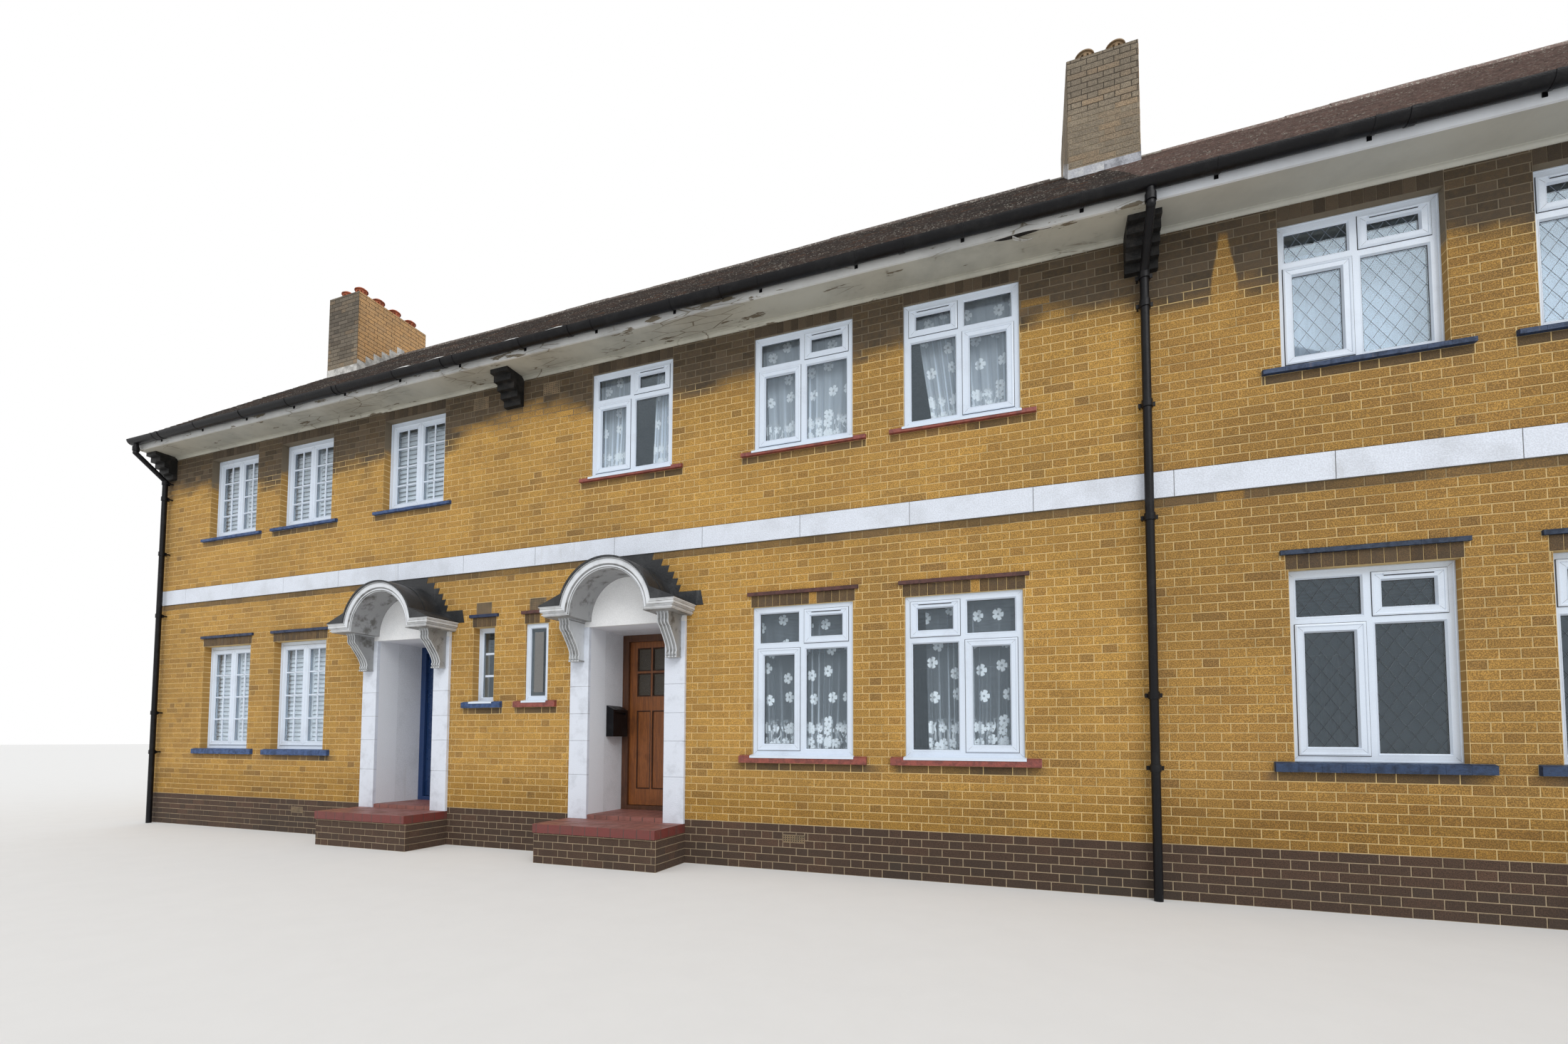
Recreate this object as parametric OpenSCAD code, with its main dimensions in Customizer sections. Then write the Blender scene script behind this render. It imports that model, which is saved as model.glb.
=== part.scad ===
// A row of three two-storey terraced houses. Each is the mirror image of the one beside it.
// Millimetres, +Z up. The front looks towards -Y. The origin is on the ground, in the middle of the row.

/* [Row] */
// Width of one house, between the lines of its party walls
house_w = 6790; // [6100:10:8200]
// Depth of a house, from front face to rear face
house_d = 6700; // [5600:10:8100]
// Thickness of the front and rear walls
wall_t = 280; // [230:5:340]
// Thickness of the party walls
party_t = 225; // [190:5:270]

/* [Levels] */
// Top of the brown plinth
plinth_h = 457; // [430:1:550]
// Underside of the white band
band_z = 3353; // [3353:1:3500]
// Height of the white band
band_h = 228; // [180:1:270]
// Underside of the eaves
eaves_z = 5690; // [5690:1:6800]
// Top of the ground floor
ground_floor_z = 480; // [460:1:500]
// Thickness of the ground floor
ground_floor_t = 150; // [100:1:180]
// Top of the first floor
first_floor_z = 3240; // [3150:1:3350]
// Thickness of the first floor with its ceiling
first_floor_t = 210; // [160:1:250]
// Thickness of the ceiling at the eaves
ceiling_t = 100; // [60:1:140]

/* [Roof] */
// Pitch of the roof
roof_pitch = 40.5; // [33:0.5:48]
// Thickness of the slopes, square to them
roof_t = 130; // [100:1:160]
// Height of the tile edge over the underside of the eaves
tile_rise = 145; // [120:1:180]
// Reach of the tile edge in front of the wall
tile_reach = 440; // [425:1:500]
// Thickness of the tiles where they pass the fascia
tile_t = 30; // [20:1:40]
// Radius of the ridge tiles
ridge_r = 130; // [100:1:150]
// Reach of the fascia in front of the wall
fascia_reach = 390; // [350:1:410]
// Thickness of the fascia board
fascia_t = 22; // [16:1:30]
// Thickness of the soffit board
soffit_t = 12; // [9:1:20]
// Size of the moulding between the soffit and the wall
eaves_mould = 38; // [25:1:50]
// Radius of the gutter
gutter_r = 70; // [55:1:75]
// Wall of the gutter
gutter_t = 5; // [4:0.5:8]
// Height of the gutter's brim over the underside of the eaves
gutter_rise = 112; // [90:1:125]
// Gap between the gutter and the fascia
gutter_gap = 5; // [3:1:12]

/* [Chimneys] */
// Width of a stack along the row
stack_w = 806; // [700:1:900]
// Reach of a stack in front of the ridge
stack_front = 920; // [800:1:1000]
// Reach of a stack behind the ridge
stack_back = 570; // [500:1:650]
// Height of a stack over the ridge of the tiles
stack_rise = 800; // [600:1:1000]
// Height of the brick corbelling that carries a stack over its party wall
stack_foot = 460; // [380:1:540]
// Radius of a pot at its foot
pot_r = 112; // [95:1:122]
// Height of a pot
pot_h = 220; // [170:1:300]
// Spacing of the pots across the stack
pot_gap_x = 356; // [300:1:400]
// Spacing of the pots along the stack
pot_gap_y = 360; // [300:1:380]

/* [Windows] */
// Width of a window
window_w = 1062; // [900:1:1150]
// Distance of the first window behind the door from the far party line
window_in_1 = 3093.5; // [2900:0.5:3150]
// Distance of the last window from the far party line
window_in_2 = 1524; // [1350:1:1600]
// Bottom of the ground storey windows
ground_sill_z = 1143; // [1000:1:1200]
// Top of the ground storey windows
ground_head_z = 2667; // [2500:1:2700]
// Bottom of the upper windows
upper_sill_z = 4313; // [4200:1:4400]
// Top of the upper windows
upper_head_z = 5532; // [5400:1:5560]
// Distance of the narrow window from its party line
narrow_in = 400; // [380:1:450]
// Width of the narrow window
narrow_w = 331; // [280:1:360]
// Bottom of the narrow window
narrow_sill_z = 1752; // [1500:1:1900]
// Bar of the window frames
frame_bar = 58; // [45:1:70]
// Bar of the narrow window's frame
narrow_bar = 46; // [35:1:55]
// Depth of the window frames
frame_d = 60; // [50:1:75]
// Bar of the opening sashes
sash_bar = 48; // [35:1:55]
// Step of the sashes in front of their frame
sash_step = 6; // [3:1:12]
// Thickness of the glass units
glass_t = 20; // [14:1:28]
// Drop of the transom below the head of a ground storey window
ground_transom = 412; // [350:1:450]
// Drop of the transom below the head of an upper window
upper_transom = 342; // [300:1:400]
// Depth of the left house's reveals
reveal_left = 100; // [20:1:120]
// Depth of the middle house's reveals
reveal_middle = 25; // [15:1:120]
// Depth of the right house's reveals
reveal_right = 75; // [20:1:120]
// Depth of the rear reveals
reveal_rear = 60; // [20:1:120]

/* [Sills and brick trim] */
// Projection of the sills
sill_out = 40; // [25:1:60]
// Depth of the sills inside the wall face
sill_in = 110; // [90:1:140]
// Overlap of a sill past each side of its window
sill_side = 137; // [80:1:150]
// Height of the ground storey sills
sill_h = 76; // [60:1:90]
// Height of the upper sills
upper_sill_h = 46; // [40:1:76]
// Height of the brick heads over the ground storey windows
head_h = 118; // [100:1:120]
// Overlap of the tile creasing past each side of its window
creasing_side = 57; // [30:1:80]
// Height of the tile creasing
creasing_h = 34; // [24:1:40]
// Projection of the tile creasing
creasing_out = 25; // [12:1:40]
// Projection of the white band
band_out = 12; // [8:1:25]
// Depth of the band and the tile creasing inside the wall face
band_in = 100; // [70:1:120]
// Width of the brick corbels under the eaves
corbel_w = 255; // [225:1:300]
// Projection of each step of a corbel
corbel_step = 57; // [40:1:62]
// Height of one brick course
course_h = 76.2; // [70:0.1:80]
// Width of an air brick
vent_w = 230; // [200:1:250]
// Height of an air brick
vent_h = 150; // [140:1:155]
// Depth of an air brick
vent_d = 100; // [60:1:120]

/* [Doorways] */
// Distance of the middle of a porch from its party line
porch_in = 1655; // [1640:1:1700]
// Width of the doorway
doorway_w = 984; // [960:1:1000]
// Top of the doorway
doorway_z = 2571; // [2400:1:2571]
// Depth of the lobby in front of the door frame, from the wall face
lobby_d = 640; // [500:1:700]
// Thickness of the lobby walls
lobby_t = 100; // [75:1:120]
// Level of the lobby floor
lobby_floor_z = 455; // [430:1:457]
// Width of the door frame's jambs
frame_jamb = 73; // [65:1:90]
// Height of the door frame's head
frame_head = 71; // [60:1:90]
// Thickness of a door
door_t = 44; // [40:1:54]
// Height of the door's foot over the ground
door_z = 510; // [500:1:530]
// Running gap round a door
door_gap = 5; // [5:1:8]
// Overlap of the frame's stop in front of the door
door_stop = 17; // [10:1:20]
// Stile of a door
door_stile = 115; // [95:1:130]
// Bar between the lights and between the panels of a door
door_bar = 30; // [22:1:40]
// Bottom rail of a door
door_foot_rail = 198; // [150:1:230]
// Top rail of a door
door_head_rail = 90; // [80:1:120]
// Height of the door's panels
door_panel_h = 938; // [800:1:1000]
// Height of the door's lock rail
door_lock_rail = 178; // [120:1:200]
// Sinking of the door's panels
door_sink = 12; // [6:1:15]
// Radius of a hinge knuckle
knuckle_r = 6; // [5:0.5:7]
// Height of a hinge
hinge_h = 100; // [75:1:120]

/* [Porch] */
// Half the width of the porch surround
surround_half = 739; // [700:1:760]
// Projection of the porch surround
surround_out = 36; // [25:1:50]
// Inner radius of the hood
arch_r = 462; // [440:1:475]
// Width of the arch moulding
arch_w = 113; // [105:1:120]
// Reach of the arch in front of the wall
arch_reach = 450; // [400:1:480]
// Thickness of the lead on the hood
lead_t = 21; // [12:1:25]
// Drop of the cornices' underside below the springing of the hood
cornice_drop = 13; // [6:1:13]
// Height of the cornices
cornice_h = 108; // [100:1:115]
// Reach of the cornices from the middle of the porch
cornice_half = 845; // [820:1:870]
// Height of the toothed flashing over the lead
flashing_rise = 112; // [90:1:112]
// Thickness of the flashings
flashing_t = 6; // [3:1:10]
// Distance of a console's inner side from the middle of the porch
console_in = 555; // [520:1:575]
// Width of a console
console_w = 135; // [110:1:150]
// Reach of a console's head in front of the surround
console_reach = 269; // [230:1:300]
// Reach of a console's foot in front of the surround
console_foot = 84; // [70:1:100]
// Height of a console
console_h = 422; // [380:1:480]
// Depth of the console's flutes
flute_d = 8; // [4:1:12]
// Projection of the step
step_out = 605; // [545:1:700]
// Level of the step
step_z = 410; // [380:1:428]
// Thickness of the red tile on the step
step_tile_h = 92; // [60:1:110]
// Set-back of the brick under the tiles
step_back = 22; // [10:1:40]

/* [Downpipes] */
// Radius of a downpipe
pipe_r = 35; // [30:1:42]
// Distance of the pipe's middle from the wall
pipe_out = 85; // [70:1:100]
// Radius of the pipe's collars
collar_r = 43; // [40:1:50]
// Level at which the pipe leans out to the gutter
neck_z = 5300; // [5200:1:5320]

/* [Hidden] */

$fn = 48;
over = 1;
houses = [0, 1, 2];
left = 0;
middle = 1;
right = 2;

// Where the row stands in its own frame: the middle of its reach from step to rear gutter is at y = 0
gutter_y = fascia_reach + gutter_gap + gutter_r;
fascia_back = fascia_t - fascia_reach;
bracket_t = 4;
rear_reach = gutter_y + gutter_r + bracket_t;
front_reach = max(step_out, rear_reach);
row_y = (front_reach - rear_reach - house_d) / 2;

// Party lines, from left to right, and the ends of the row
function party_x(i) = (i - 1.5) * house_w;
row_end = party_x(3) + party_t / 2;
inner_end = house_w - party_t / 2;

// The roof's tile surface and its underside, as heights over a distance behind the wall face
ridge_y = house_d / 2;
function roof_top(y) = eaves_z + tile_rise + tan(roof_pitch) * (y + tile_reach);
function roof_under(y) = roof_top(y) - roof_t / cos(roof_pitch);
function tile_under(y) = roof_top(y) - tile_t / cos(roof_pitch);

// Bed joint between a sloping face and what lies against it
bed = 0.1;
function wall_top(y) = roof_under(y) - bed;
band_top = band_z + band_h;

// Doorway, lobby and door
doorway_half = doorway_w / 2;
door_w = doorway_w - 2 * frame_jamb;
door_seat = 40;
lobby_end = lobby_d + door_seat + door_t;
lobby_half = doorway_half + lobby_t;
door_top = doorway_z - frame_head;
door_y = lobby_d + door_seat;
leaf_half = door_w / 2;
hinge_x = leaf_half + door_gap / 2;
hinge_y = door_y + door_t + knuckle_r + 2;
hinge_plate = 2;
knuckle_gap = 0.3;
hinge_in = 190;
hinge_levels = [door_z + hinge_in, (door_z + door_top) / 2, door_top - hinge_in];

// The hood rises until its flashing meets the white band
lead_r = arch_r + arch_w + lead_t;
spring_z = band_z - lead_r - flashing_rise;
cornice_z = spring_z - cornice_drop;

// Windows of one house, from its entry party line: middle, bottom, top, transom, width and kind
window_u1 = house_w - window_in_1;
window_u2 = house_w - window_in_2;
function pane_kind(i) = i == left ? "pair" : "four";
function turned(kind) = kind == "four" ? "four_turned" : kind;
function ground_windows(kind) = [
    [window_u1, ground_sill_z, ground_head_z, ground_transom, window_w, kind],
    [window_u2, ground_sill_z, ground_head_z, ground_transom, window_w, turned(kind)]];
function upper_windows(kind) = [
    [porch_in, upper_sill_z, upper_head_z, upper_transom, window_w, kind],
    [window_u1, upper_sill_z, upper_head_z, upper_transom, window_w, kind],
    [window_u2, upper_sill_z, upper_head_z, upper_transom, window_w, turned(kind)]];
narrow_window = [narrow_in, narrow_sill_z, ground_head_z, 0, narrow_w, "single"];
reveals = [reveal_left, reveal_middle, reveal_right];

// Air bricks of one house: middle and bottom
eaves_vent = [540, eaves_z - 280];
head_vent = [narrow_in + 7, ground_head_z + head_h + creasing_h];
plinth_vent = [window_u1 - 78, 279];
plinth_vent_h = 75;

// Chimney stacks: the index of their party line and their left side
ridge_top = roof_top(ridge_y);
stack_top = ridge_top + stack_rise;
stack_y0 = ridge_y - stack_front;
stack_y1 = ridge_y + stack_back;
foot_z = roof_under(stack_y0) - stack_foot;
stacks = [[0, -row_end], [2, party_x(2) - stack_w / 2]];
pot_rows = 4;
pot_y0 = (stack_y0 + stack_y1) / 2 - (pot_rows - 1) * pot_gap_y / 2;

// Helpers
module placed() {
    translate([0, row_y, 0]) children();
}

module at_house(i) {
    translate([party_x(i == right ? 3 : 1), 0, 0]) mirror([i == middle ? 0 : 1, 0, 0]) children();
}

module each_house() {
    for (i = houses) at_house(i) children();
}

module at_each_porch() {
    each_house() translate([porch_in, 0, 0]) children();
}

module both_sides() {
    for (side = [0, 1]) mirror([side, 0, 0]) children();
}

module at_rear() {
    translate([0, house_d, 0]) mirror([0, 1, 0]) children();
}

module front_and_rear() {
    children();
    at_rear() children();
}

module slab(x0, x1, y0, y1, z0, z1) {
    translate([x0, y0, z0]) cube([x1 - x0, y1 - y0, z1 - z0]);
}

// Extrudes an outline of depth and height along the row
module along_x(x0, x1) {
    translate([x0, 0, 0]) rotate([90, 0, 90]) linear_extrude(x1 - x0) children();
}

// Extrudes an outline of width and height from front to rear
module along_y(y0, y1) {
    translate([0, y1, 0]) rotate([90, 0, 0]) linear_extrude(y1 - y0) children();
}

// Cuts in a wall for one window: the light itself and the seat of its sill
module window_cut(w, sill) {
    slab(w[0] - w[4] / 2, w[0] + w[4] / 2, -over, wall_t + over, w[1], w[2]);
    sill_seat(w, sill);
}

module sill_seat(w, sill) {
    side = w[4] / 2 + sill_side;
    slab(w[0] - side, w[0] + side, -over, sill_in, w[1] - sill, w[1]);
}

module creasing_seat(w) {
    slab(w[0] - w[4] / 2 - creasing_side, w[0] + w[4] / 2 + creasing_side, -over, band_in,
        w[2] + head_h, w[2] + head_h + creasing_h);
}

module vent_seat(v, h) {
    slab(v[0] - vent_w / 2, v[0] + vent_w / 2, -over, vent_d, v[1], v[1] + h);
}

// Walls
module plinth() {
    color("sienna") placed() difference() {
        slab(-row_end, row_end, 0, house_d, 0, plinth_h);
        each_house() {
            difference() {
                slab(party_t / 2, inner_end, wall_t, house_d - wall_t, -over, plinth_h + over);
                translate([porch_in, 0, 0])
                    slab(-lobby_half, lobby_half, wall_t - over, lobby_end, -2 * over, step_z);
            }
            translate([porch_in, 0, 0])
                slab(-doorway_half, doorway_half, -over, wall_t + over, step_z, plinth_h + over);
            vent_seat(plinth_vent, plinth_vent_h);
        }
    }
}

module front_wall_main() {
    color("goldenrod") placed() each_house() difference() {
        slab(porch_in + doorway_half, inner_end, 0, wall_t, plinth_h, band_z);
        for (w = ground_windows("four")) {
            window_cut(w, sill_h);
            creasing_seat(w);
        }
    }
}

module front_wall_side() {
    color("goldenrod") placed() each_house() difference() {
        slab(party_t / 2, porch_in - doorway_half, 0, wall_t, plinth_h, band_z);
        window_cut(narrow_window, sill_h);
        creasing_seat(narrow_window);
        vent_seat(head_vent, vent_h);
    }
}

module front_wall_over_doors() {
    color("goldenrod") placed() at_each_porch()
        slab(-doorway_half, doorway_half, 0, wall_t, doorway_z, band_z);
}

module front_wall_upper() {
    color("goldenrod") placed() each_house() difference() {
        along_x(party_t / 2, inner_end) polygon([[band_in, band_z], [wall_t, band_z],
            [wall_t, wall_top(wall_t)], [0, wall_top(0)], [0, band_top], [band_in, band_top]]);
        for (w = upper_windows("four")) window_cut(w, upper_sill_h);
        vent_seat(eaves_vent, vent_h);
    }
}

module rear_wall() {
    color("goldenrod") placed() at_rear() each_house() difference() {
        along_x(party_t / 2, inner_end) polygon([[0, plinth_h], [wall_t, plinth_h],
            [wall_t, wall_top(wall_t)], [0, wall_top(0)], [0, band_top], [band_in, band_top],
            [band_in, band_z], [0, band_z]]);
        for (w = ground_windows("four")) {
            window_cut(w, sill_h);
            creasing_seat(w);
        }
        for (w = upper_windows("four")) window_cut(w, upper_sill_h);
    }
}

module party_walls() {
    color("goldenrod") placed() for (i = [0:3]) difference() {
        along_x(party_x(i) - party_t / 2, party_x(i) + party_t / 2) polygon([[0, plinth_h], [0, wall_top(0)],
            [ridge_y, wall_top(ridge_y)], [house_d, wall_top(0)], [house_d, plinth_h]]);
        each_house() sill_seat(narrow_window, sill_h);
        front_and_rear() slab(-row_end - over, row_end + over, -over, band_in, band_z, band_top);
        if (i == stacks[0][0] || i == stacks[1][0])
            slab(-row_end - over, row_end + over, stack_y0, stack_y1, foot_z, stack_top);
    }
}

module band_course() {
    color("whitesmoke") placed() front_and_rear()
        slab(-row_end, row_end, -band_out, band_in, band_z, band_top);
}

module corbel_steps() {
    steps = 5;
    for (k = [1:steps])
        slab(-corbel_w / 2, corbel_w / 2, -k * corbel_step, 0,
            floor(eaves_z / course_h - steps + k) * course_h, eaves_z);
}

module brick_corbels() {
    color("dimgray") placed() front_and_rear() for (i = [0:3]) intersection() {
        translate([party_x(i), 0, 0]) corbel_steps();
        slab(-row_end, row_end, -fascia_reach, 0, 0, eaves_z);
    }
}

module creasing(w) {
    slab(w[0] - w[4] / 2 - creasing_side, w[0] + w[4] / 2 + creasing_side, -creasing_out, band_in,
        w[2] + head_h, w[2] + head_h + creasing_h);
}

module tile_creasings() {
    color("firebrick") placed() {
        each_house() for (w = concat(ground_windows("four"), [narrow_window])) creasing(w);
        at_rear() each_house() for (w = ground_windows("four")) creasing(w);
    }
}

// A sill with a level seat for the frame and a weathered nose
module sill(w, h) {
    fall = 12;
    along_x(w[0] - w[4] / 2 - sill_side, w[0] + w[4] / 2 + sill_side)
        polygon([[-sill_out, w[1] - h], [sill_in, w[1] - h], [sill_in, w[1]], [0, w[1]],
            [-sill_out, w[1] - fall]]);
}

module window_sills() {
    color("firebrick") placed() {
        each_house() {
            for (w = concat(ground_windows("four"), [narrow_window])) sill(w, sill_h);
            for (w = upper_windows("four")) sill(w, upper_sill_h);
        }
        at_rear() each_house() {
            for (w = ground_windows("four")) sill(w, sill_h);
            for (w = upper_windows("four")) sill(w, upper_sill_h);
        }
    }
}

module vent(v, h) {
    slab(v[0] - vent_w / 2, v[0] + vent_w / 2, 0, vent_d, v[1], v[1] + h);
}

module air_bricks() {
    color("chocolate") placed() each_house() {
        vent(eaves_vent, vent_h);
        vent(head_vent, vent_h);
        vent(plinth_vent, plinth_vent_h);
    }
}

// Floors
module floor_between(z0, z1) {
    slab(party_t / 2, inner_end, wall_t, house_d - wall_t, z0, z1);
}

module ground_floor() {
    color("tan") placed() each_house() difference() {
        floor_between(ground_floor_z - ground_floor_t, ground_floor_z);
        slab(porch_in - lobby_half, porch_in + lobby_half, 0, lobby_end, 0, doorway_z);
    }
}

module first_floor() {
    color("tan") placed() each_house() floor_between(first_floor_z - first_floor_t, first_floor_z);
}

module ceiling() {
    color("tan") placed() each_house() floor_between(eaves_z, eaves_z + ceiling_t);
}

module lobby_walls() {
    color("whitesmoke") placed() at_each_porch() difference() {
        slab(-lobby_half, lobby_half, wall_t, lobby_end, step_z, doorway_z + lobby_t);
        slab(-doorway_half, doorway_half, 0, lobby_end + over, 0, doorway_z);
    }
}

// Roof
module stack_holes() {
    for (s = stacks) {
        x0 = s[0] == 0 ? s[1] - over : s[1];
        slab(x0, s[1] + stack_w, stack_y0, stack_y1, eaves_z, stack_top);
    }
}

module roof_slope() {
    difference() {
        along_x(-row_end, row_end) polygon([[-tile_reach, tile_under(-tile_reach)],
            [-tile_reach, roof_top(-tile_reach)], [ridge_y, ridge_top], [ridge_y, roof_under(ridge_y)],
            [fascia_back, roof_under(fascia_back)],
            [fascia_back, tile_under(fascia_back)]]);
        children();
    }
}

module roof_front() {
    color("maroon") placed() roof_slope() stack_holes();
}

module roof_rear() {
    color("maroon") placed() at_rear() roof_slope() at_rear() stack_holes();
}

// Both slopes and all that lies under them
module under_tiles() {
    eaves_edge = roof_top(-tile_reach) + bed;
    polygon([[-tile_reach, 0], [-tile_reach, eaves_edge], [ridge_y, ridge_top + bed],
        [house_d + tile_reach, eaves_edge], [house_d + tile_reach, 0]]);
}

module ridge_round(x) {
    sink = 108;
    along_x(-x, x) translate([ridge_y, ridge_top - sink]) circle(ridge_r);
}

module ridge_tiles() {
    color("firebrick") placed() difference() {
        ridge_round(row_end);
        along_x(-row_end - over, row_end + over) under_tiles();
        stack_holes();
    }
}

// A soffit board with a hollow moulding against the wall, stopped at each corbel
module soffit_run() {
    slab(-row_end, row_end, fascia_back, 0, eaves_z, eaves_z + soffit_t);
    for (i = [0:2]) along_x(party_x(i) + corbel_w / 2, party_x(i + 1) - corbel_w / 2) difference() {
        translate([-eaves_mould, eaves_z - eaves_mould]) square([eaves_mould, eaves_mould + soffit_t / 2]);
        translate([-eaves_mould, eaves_z - eaves_mould]) circle(eaves_mould * 0.75);
    }
    for (x = [-row_end, row_end - soffit_t]) along_x(x, x + soffit_t)
        polygon([[fascia_back, eaves_z + soffit_t / 2],
            [fascia_back, wall_top(fascia_back)], [0, wall_top(0)],
            [0, eaves_z + soffit_t / 2]]);
}

module soffits() {
    color("gainsboro") placed() front_and_rear() soffit_run();
}

module fascias() {
    color("whitesmoke") placed() front_and_rear() along_x(-row_end, row_end)
        polygon([[-fascia_reach, eaves_z], [fascia_back, eaves_z], [fascia_back, tile_under(fascia_back)],
            [-fascia_reach, tile_under(-fascia_reach)]]);
}

// A half-round gutter with stopped ends on brackets that reach back to the fascia
module gutter_run() {
    brim_z = eaves_z + gutter_rise;
    pitch = 970;
    brackets = floor(2 * row_end / pitch);
    along_x(-row_end, row_end) difference() {
        translate([-gutter_y, brim_z]) circle(gutter_r);
        translate([-gutter_y, brim_z]) circle(gutter_r - gutter_t);
        translate([-gutter_y - gutter_r, brim_z]) square([2 * gutter_r, gutter_r]);
    }
    stop_z = min(brim_z, tile_under(-tile_reach)) - 3;
    for (x = [-row_end, row_end - gutter_t]) along_x(x, x + gutter_t) difference() {
        translate([-gutter_y, brim_z]) circle(gutter_r - gutter_t / 2);
        translate([-gutter_y - gutter_r, stop_z]) square([2 * gutter_r, 2 * gutter_r]);
    }
    for (i = [0:brackets - 1]) translate([(i - (brackets - 1) / 2) * pitch, 0, 0]) along_x(-15, 15) {
        difference() {
            translate([-gutter_y, brim_z]) circle(gutter_r + bracket_t);
            translate([-gutter_y, brim_z]) circle(gutter_r - gutter_t / 2);
            translate([-gutter_y - 2 * gutter_r, brim_z]) square([4 * gutter_r, 2 * gutter_r]);
        }
        translate([-fascia_reach - gutter_gap - 1, brim_z - 70]) square([gutter_gap + 1, 90]);
    }
}

module gutters() {
    color("black") placed() front_and_rear() gutter_run();
}

// A cast pipe: straight down the wall, with a swan neck out to the gutter
module downpipe() {
    neck_end = eaves_z - 90;
    brim_z = eaves_z + gutter_rise;
    bend_r = pipe_r + 2;
    lean = atan2(gutter_y - pipe_out, neck_end - neck_z);
    neck = norm([gutter_y - pipe_out, neck_end - neck_z]);
    collars = [1050, 1650, 3150, 4120, 4990, neck_z - 60];
    translate([0, -pipe_out, 0]) {
        cylinder(r = pipe_r, h = neck_z);
        translate([0, 0, neck_z]) sphere(bend_r);
        translate([0, 0, neck_z]) rotate([lean, 0, 0]) cylinder(r = pipe_r, h = neck);
    }
    translate([0, -gutter_y, neck_end]) {
        sphere(bend_r);
        cylinder(r = pipe_r, h = brim_z - gutter_r - neck_end);
        translate([0, 0, 30]) cylinder(r = collar_r, h = 60);
    }
    for (z = collars) {
        translate([0, -pipe_out, z]) cylinder(r = collar_r, h = 60);
        slab(-65, 65, -pipe_out + 20, -pipe_out + 30, z + 12, z + 48);
        for (x = [-52, 40]) slab(x, x + 12, -pipe_out + 25, 0, z + 20, z + 40);
    }
}

module downpipes() {
    color("black") placed() {
        translate([party_x(2) + 15, 0, 0]) downpipe();
        translate([party_x(0), 0, 0]) downpipe();
    }
}

// Chimneys: each stack is corbelled out in steps from the top of its party wall
module stack(s) {
    steps = 6;
    wall_x = party_x(s[0]) - party_t / 2;
    body_z = foot_z + stack_foot;
    slab(s[1], s[1] + stack_w, stack_y0, stack_y1, body_z, stack_top);
    for (k = [1:steps]) {
        share = k / (steps + 1);
        x0 = wall_x + (s[1] - wall_x) * share;
        x1 = wall_x + party_t + (s[1] + stack_w - wall_x - party_t) * share;
        slab(x0, x1, stack_y0, stack_y1, foot_z + (k - 1) * stack_foot / steps, body_z);
    }
}

module chimney_stacks() {
    color("peru") placed() for (s = stacks) stack(s);
}

// A short clay terminal with a rolled foot, a slotted drum and a domed lid
module pot() {
    wall = 18;
    lid_z = pot_h * 0.72;
    difference() {
        rotate_extrude() polygon([[0, 0], [pot_r, 0], [pot_r, 22], [pot_r - 12, 34], [pot_r - 12, lid_z],
            [pot_r + 6, lid_z + 4], [pot_r + 6, lid_z + 18], [pot_r * 0.7, pot_h - 12], [pot_r * 0.3, pot_h],
            [0, pot_h]]);
        for (a = [0:36:324], z = [55, 105]) rotate([0, 0, a])
            slab(pot_r - 12 - wall, pot_r + over, -13, 13, z, z + 30);
    }
}

module chimney_pots() {
    color("brown") placed() for (s = stacks, side = [-1, 1], row = [0:pot_rows - 1])
        translate([s[1] + stack_w / 2 + side * pot_gap_x / 2, pot_y0 + row * pot_gap_y, stack_top]) pot();
}

// Lead round the foot of a stack: an apron in front, a gutter behind and stepped sides
module stack_flashing(s) {
    rise = 150;
    apron = 120;
    steps = 9;
    run = (stack_y1 - stack_y0) / steps;
    step_rise = run * tan(roof_pitch) + 100;
    slope_z = roof_top(stack_y0) + bed;
    x0 = s[1];
    x1 = s[1] + stack_w;
    left_x = s[0] == 0 ? x0 : x0 - flashing_t;
    slab(left_x, x1 + flashing_t, stack_y0 - flashing_t, stack_y0, slope_z, slope_z + rise);
    apron_z = roof_top(stack_y0 - apron) + bed;
    along_x(left_x, x1 + flashing_t) polygon([[stack_y0, slope_z], [stack_y0, slope_z + flashing_t],
        [stack_y0 - apron, apron_z + flashing_t], [stack_y0 - apron, apron_z]]);
    back_z = roof_top(house_d - stack_y1) + bed;
    slab(left_x, x1 + flashing_t, stack_y1, stack_y1 + flashing_t, back_z, back_z + rise);
    for (side = s[0] == 0 ? [1] : [0, 1]) for (k = [0:steps - 1]) {
        y0 = stack_y0 + k * run;
        foot = min(roof_top(y0), roof_top(house_d - y0 - run));
        x = side == 0 ? x0 - flashing_t : x1;
        difference() {
            slab(x, x + flashing_t, y0, y0 + run, foot, foot + step_rise);
            along_x(x - over, x + flashing_t + over) under_tiles();
        }
    }
}

module chimney_flashings() {
    color("lightgray") placed() difference() {
        for (s = stacks) stack_flashing(s);
        ridge_round(row_end + over);
    }
}

// Windows. Each light is left, right, bottom, top and whether a sash fills it.
function lights(w) =
    let (bar = w[5] == "single" ? narrow_bar : frame_bar, half = frame_bar / 2, zt = w[2] - w[3],
        x = w[4] / 2 - bar, z0 = w[1] + bar, z1 = w[2] - bar, turn = w[5] == "four_turned")
    w[5] == "single" ? [[-x, x, z0, z1, false]]
    : w[5] == "pair" ? [[-x, -1, z0, z1, true], [1, x, z0, z1, true]]
    : [[-x, -half, z0, zt - half, !turn], [half, x, z0, zt - half, turn],
        [-x, -half, zt + half, z1, turn], [half, x, zt + half, z1, !turn]];

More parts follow.
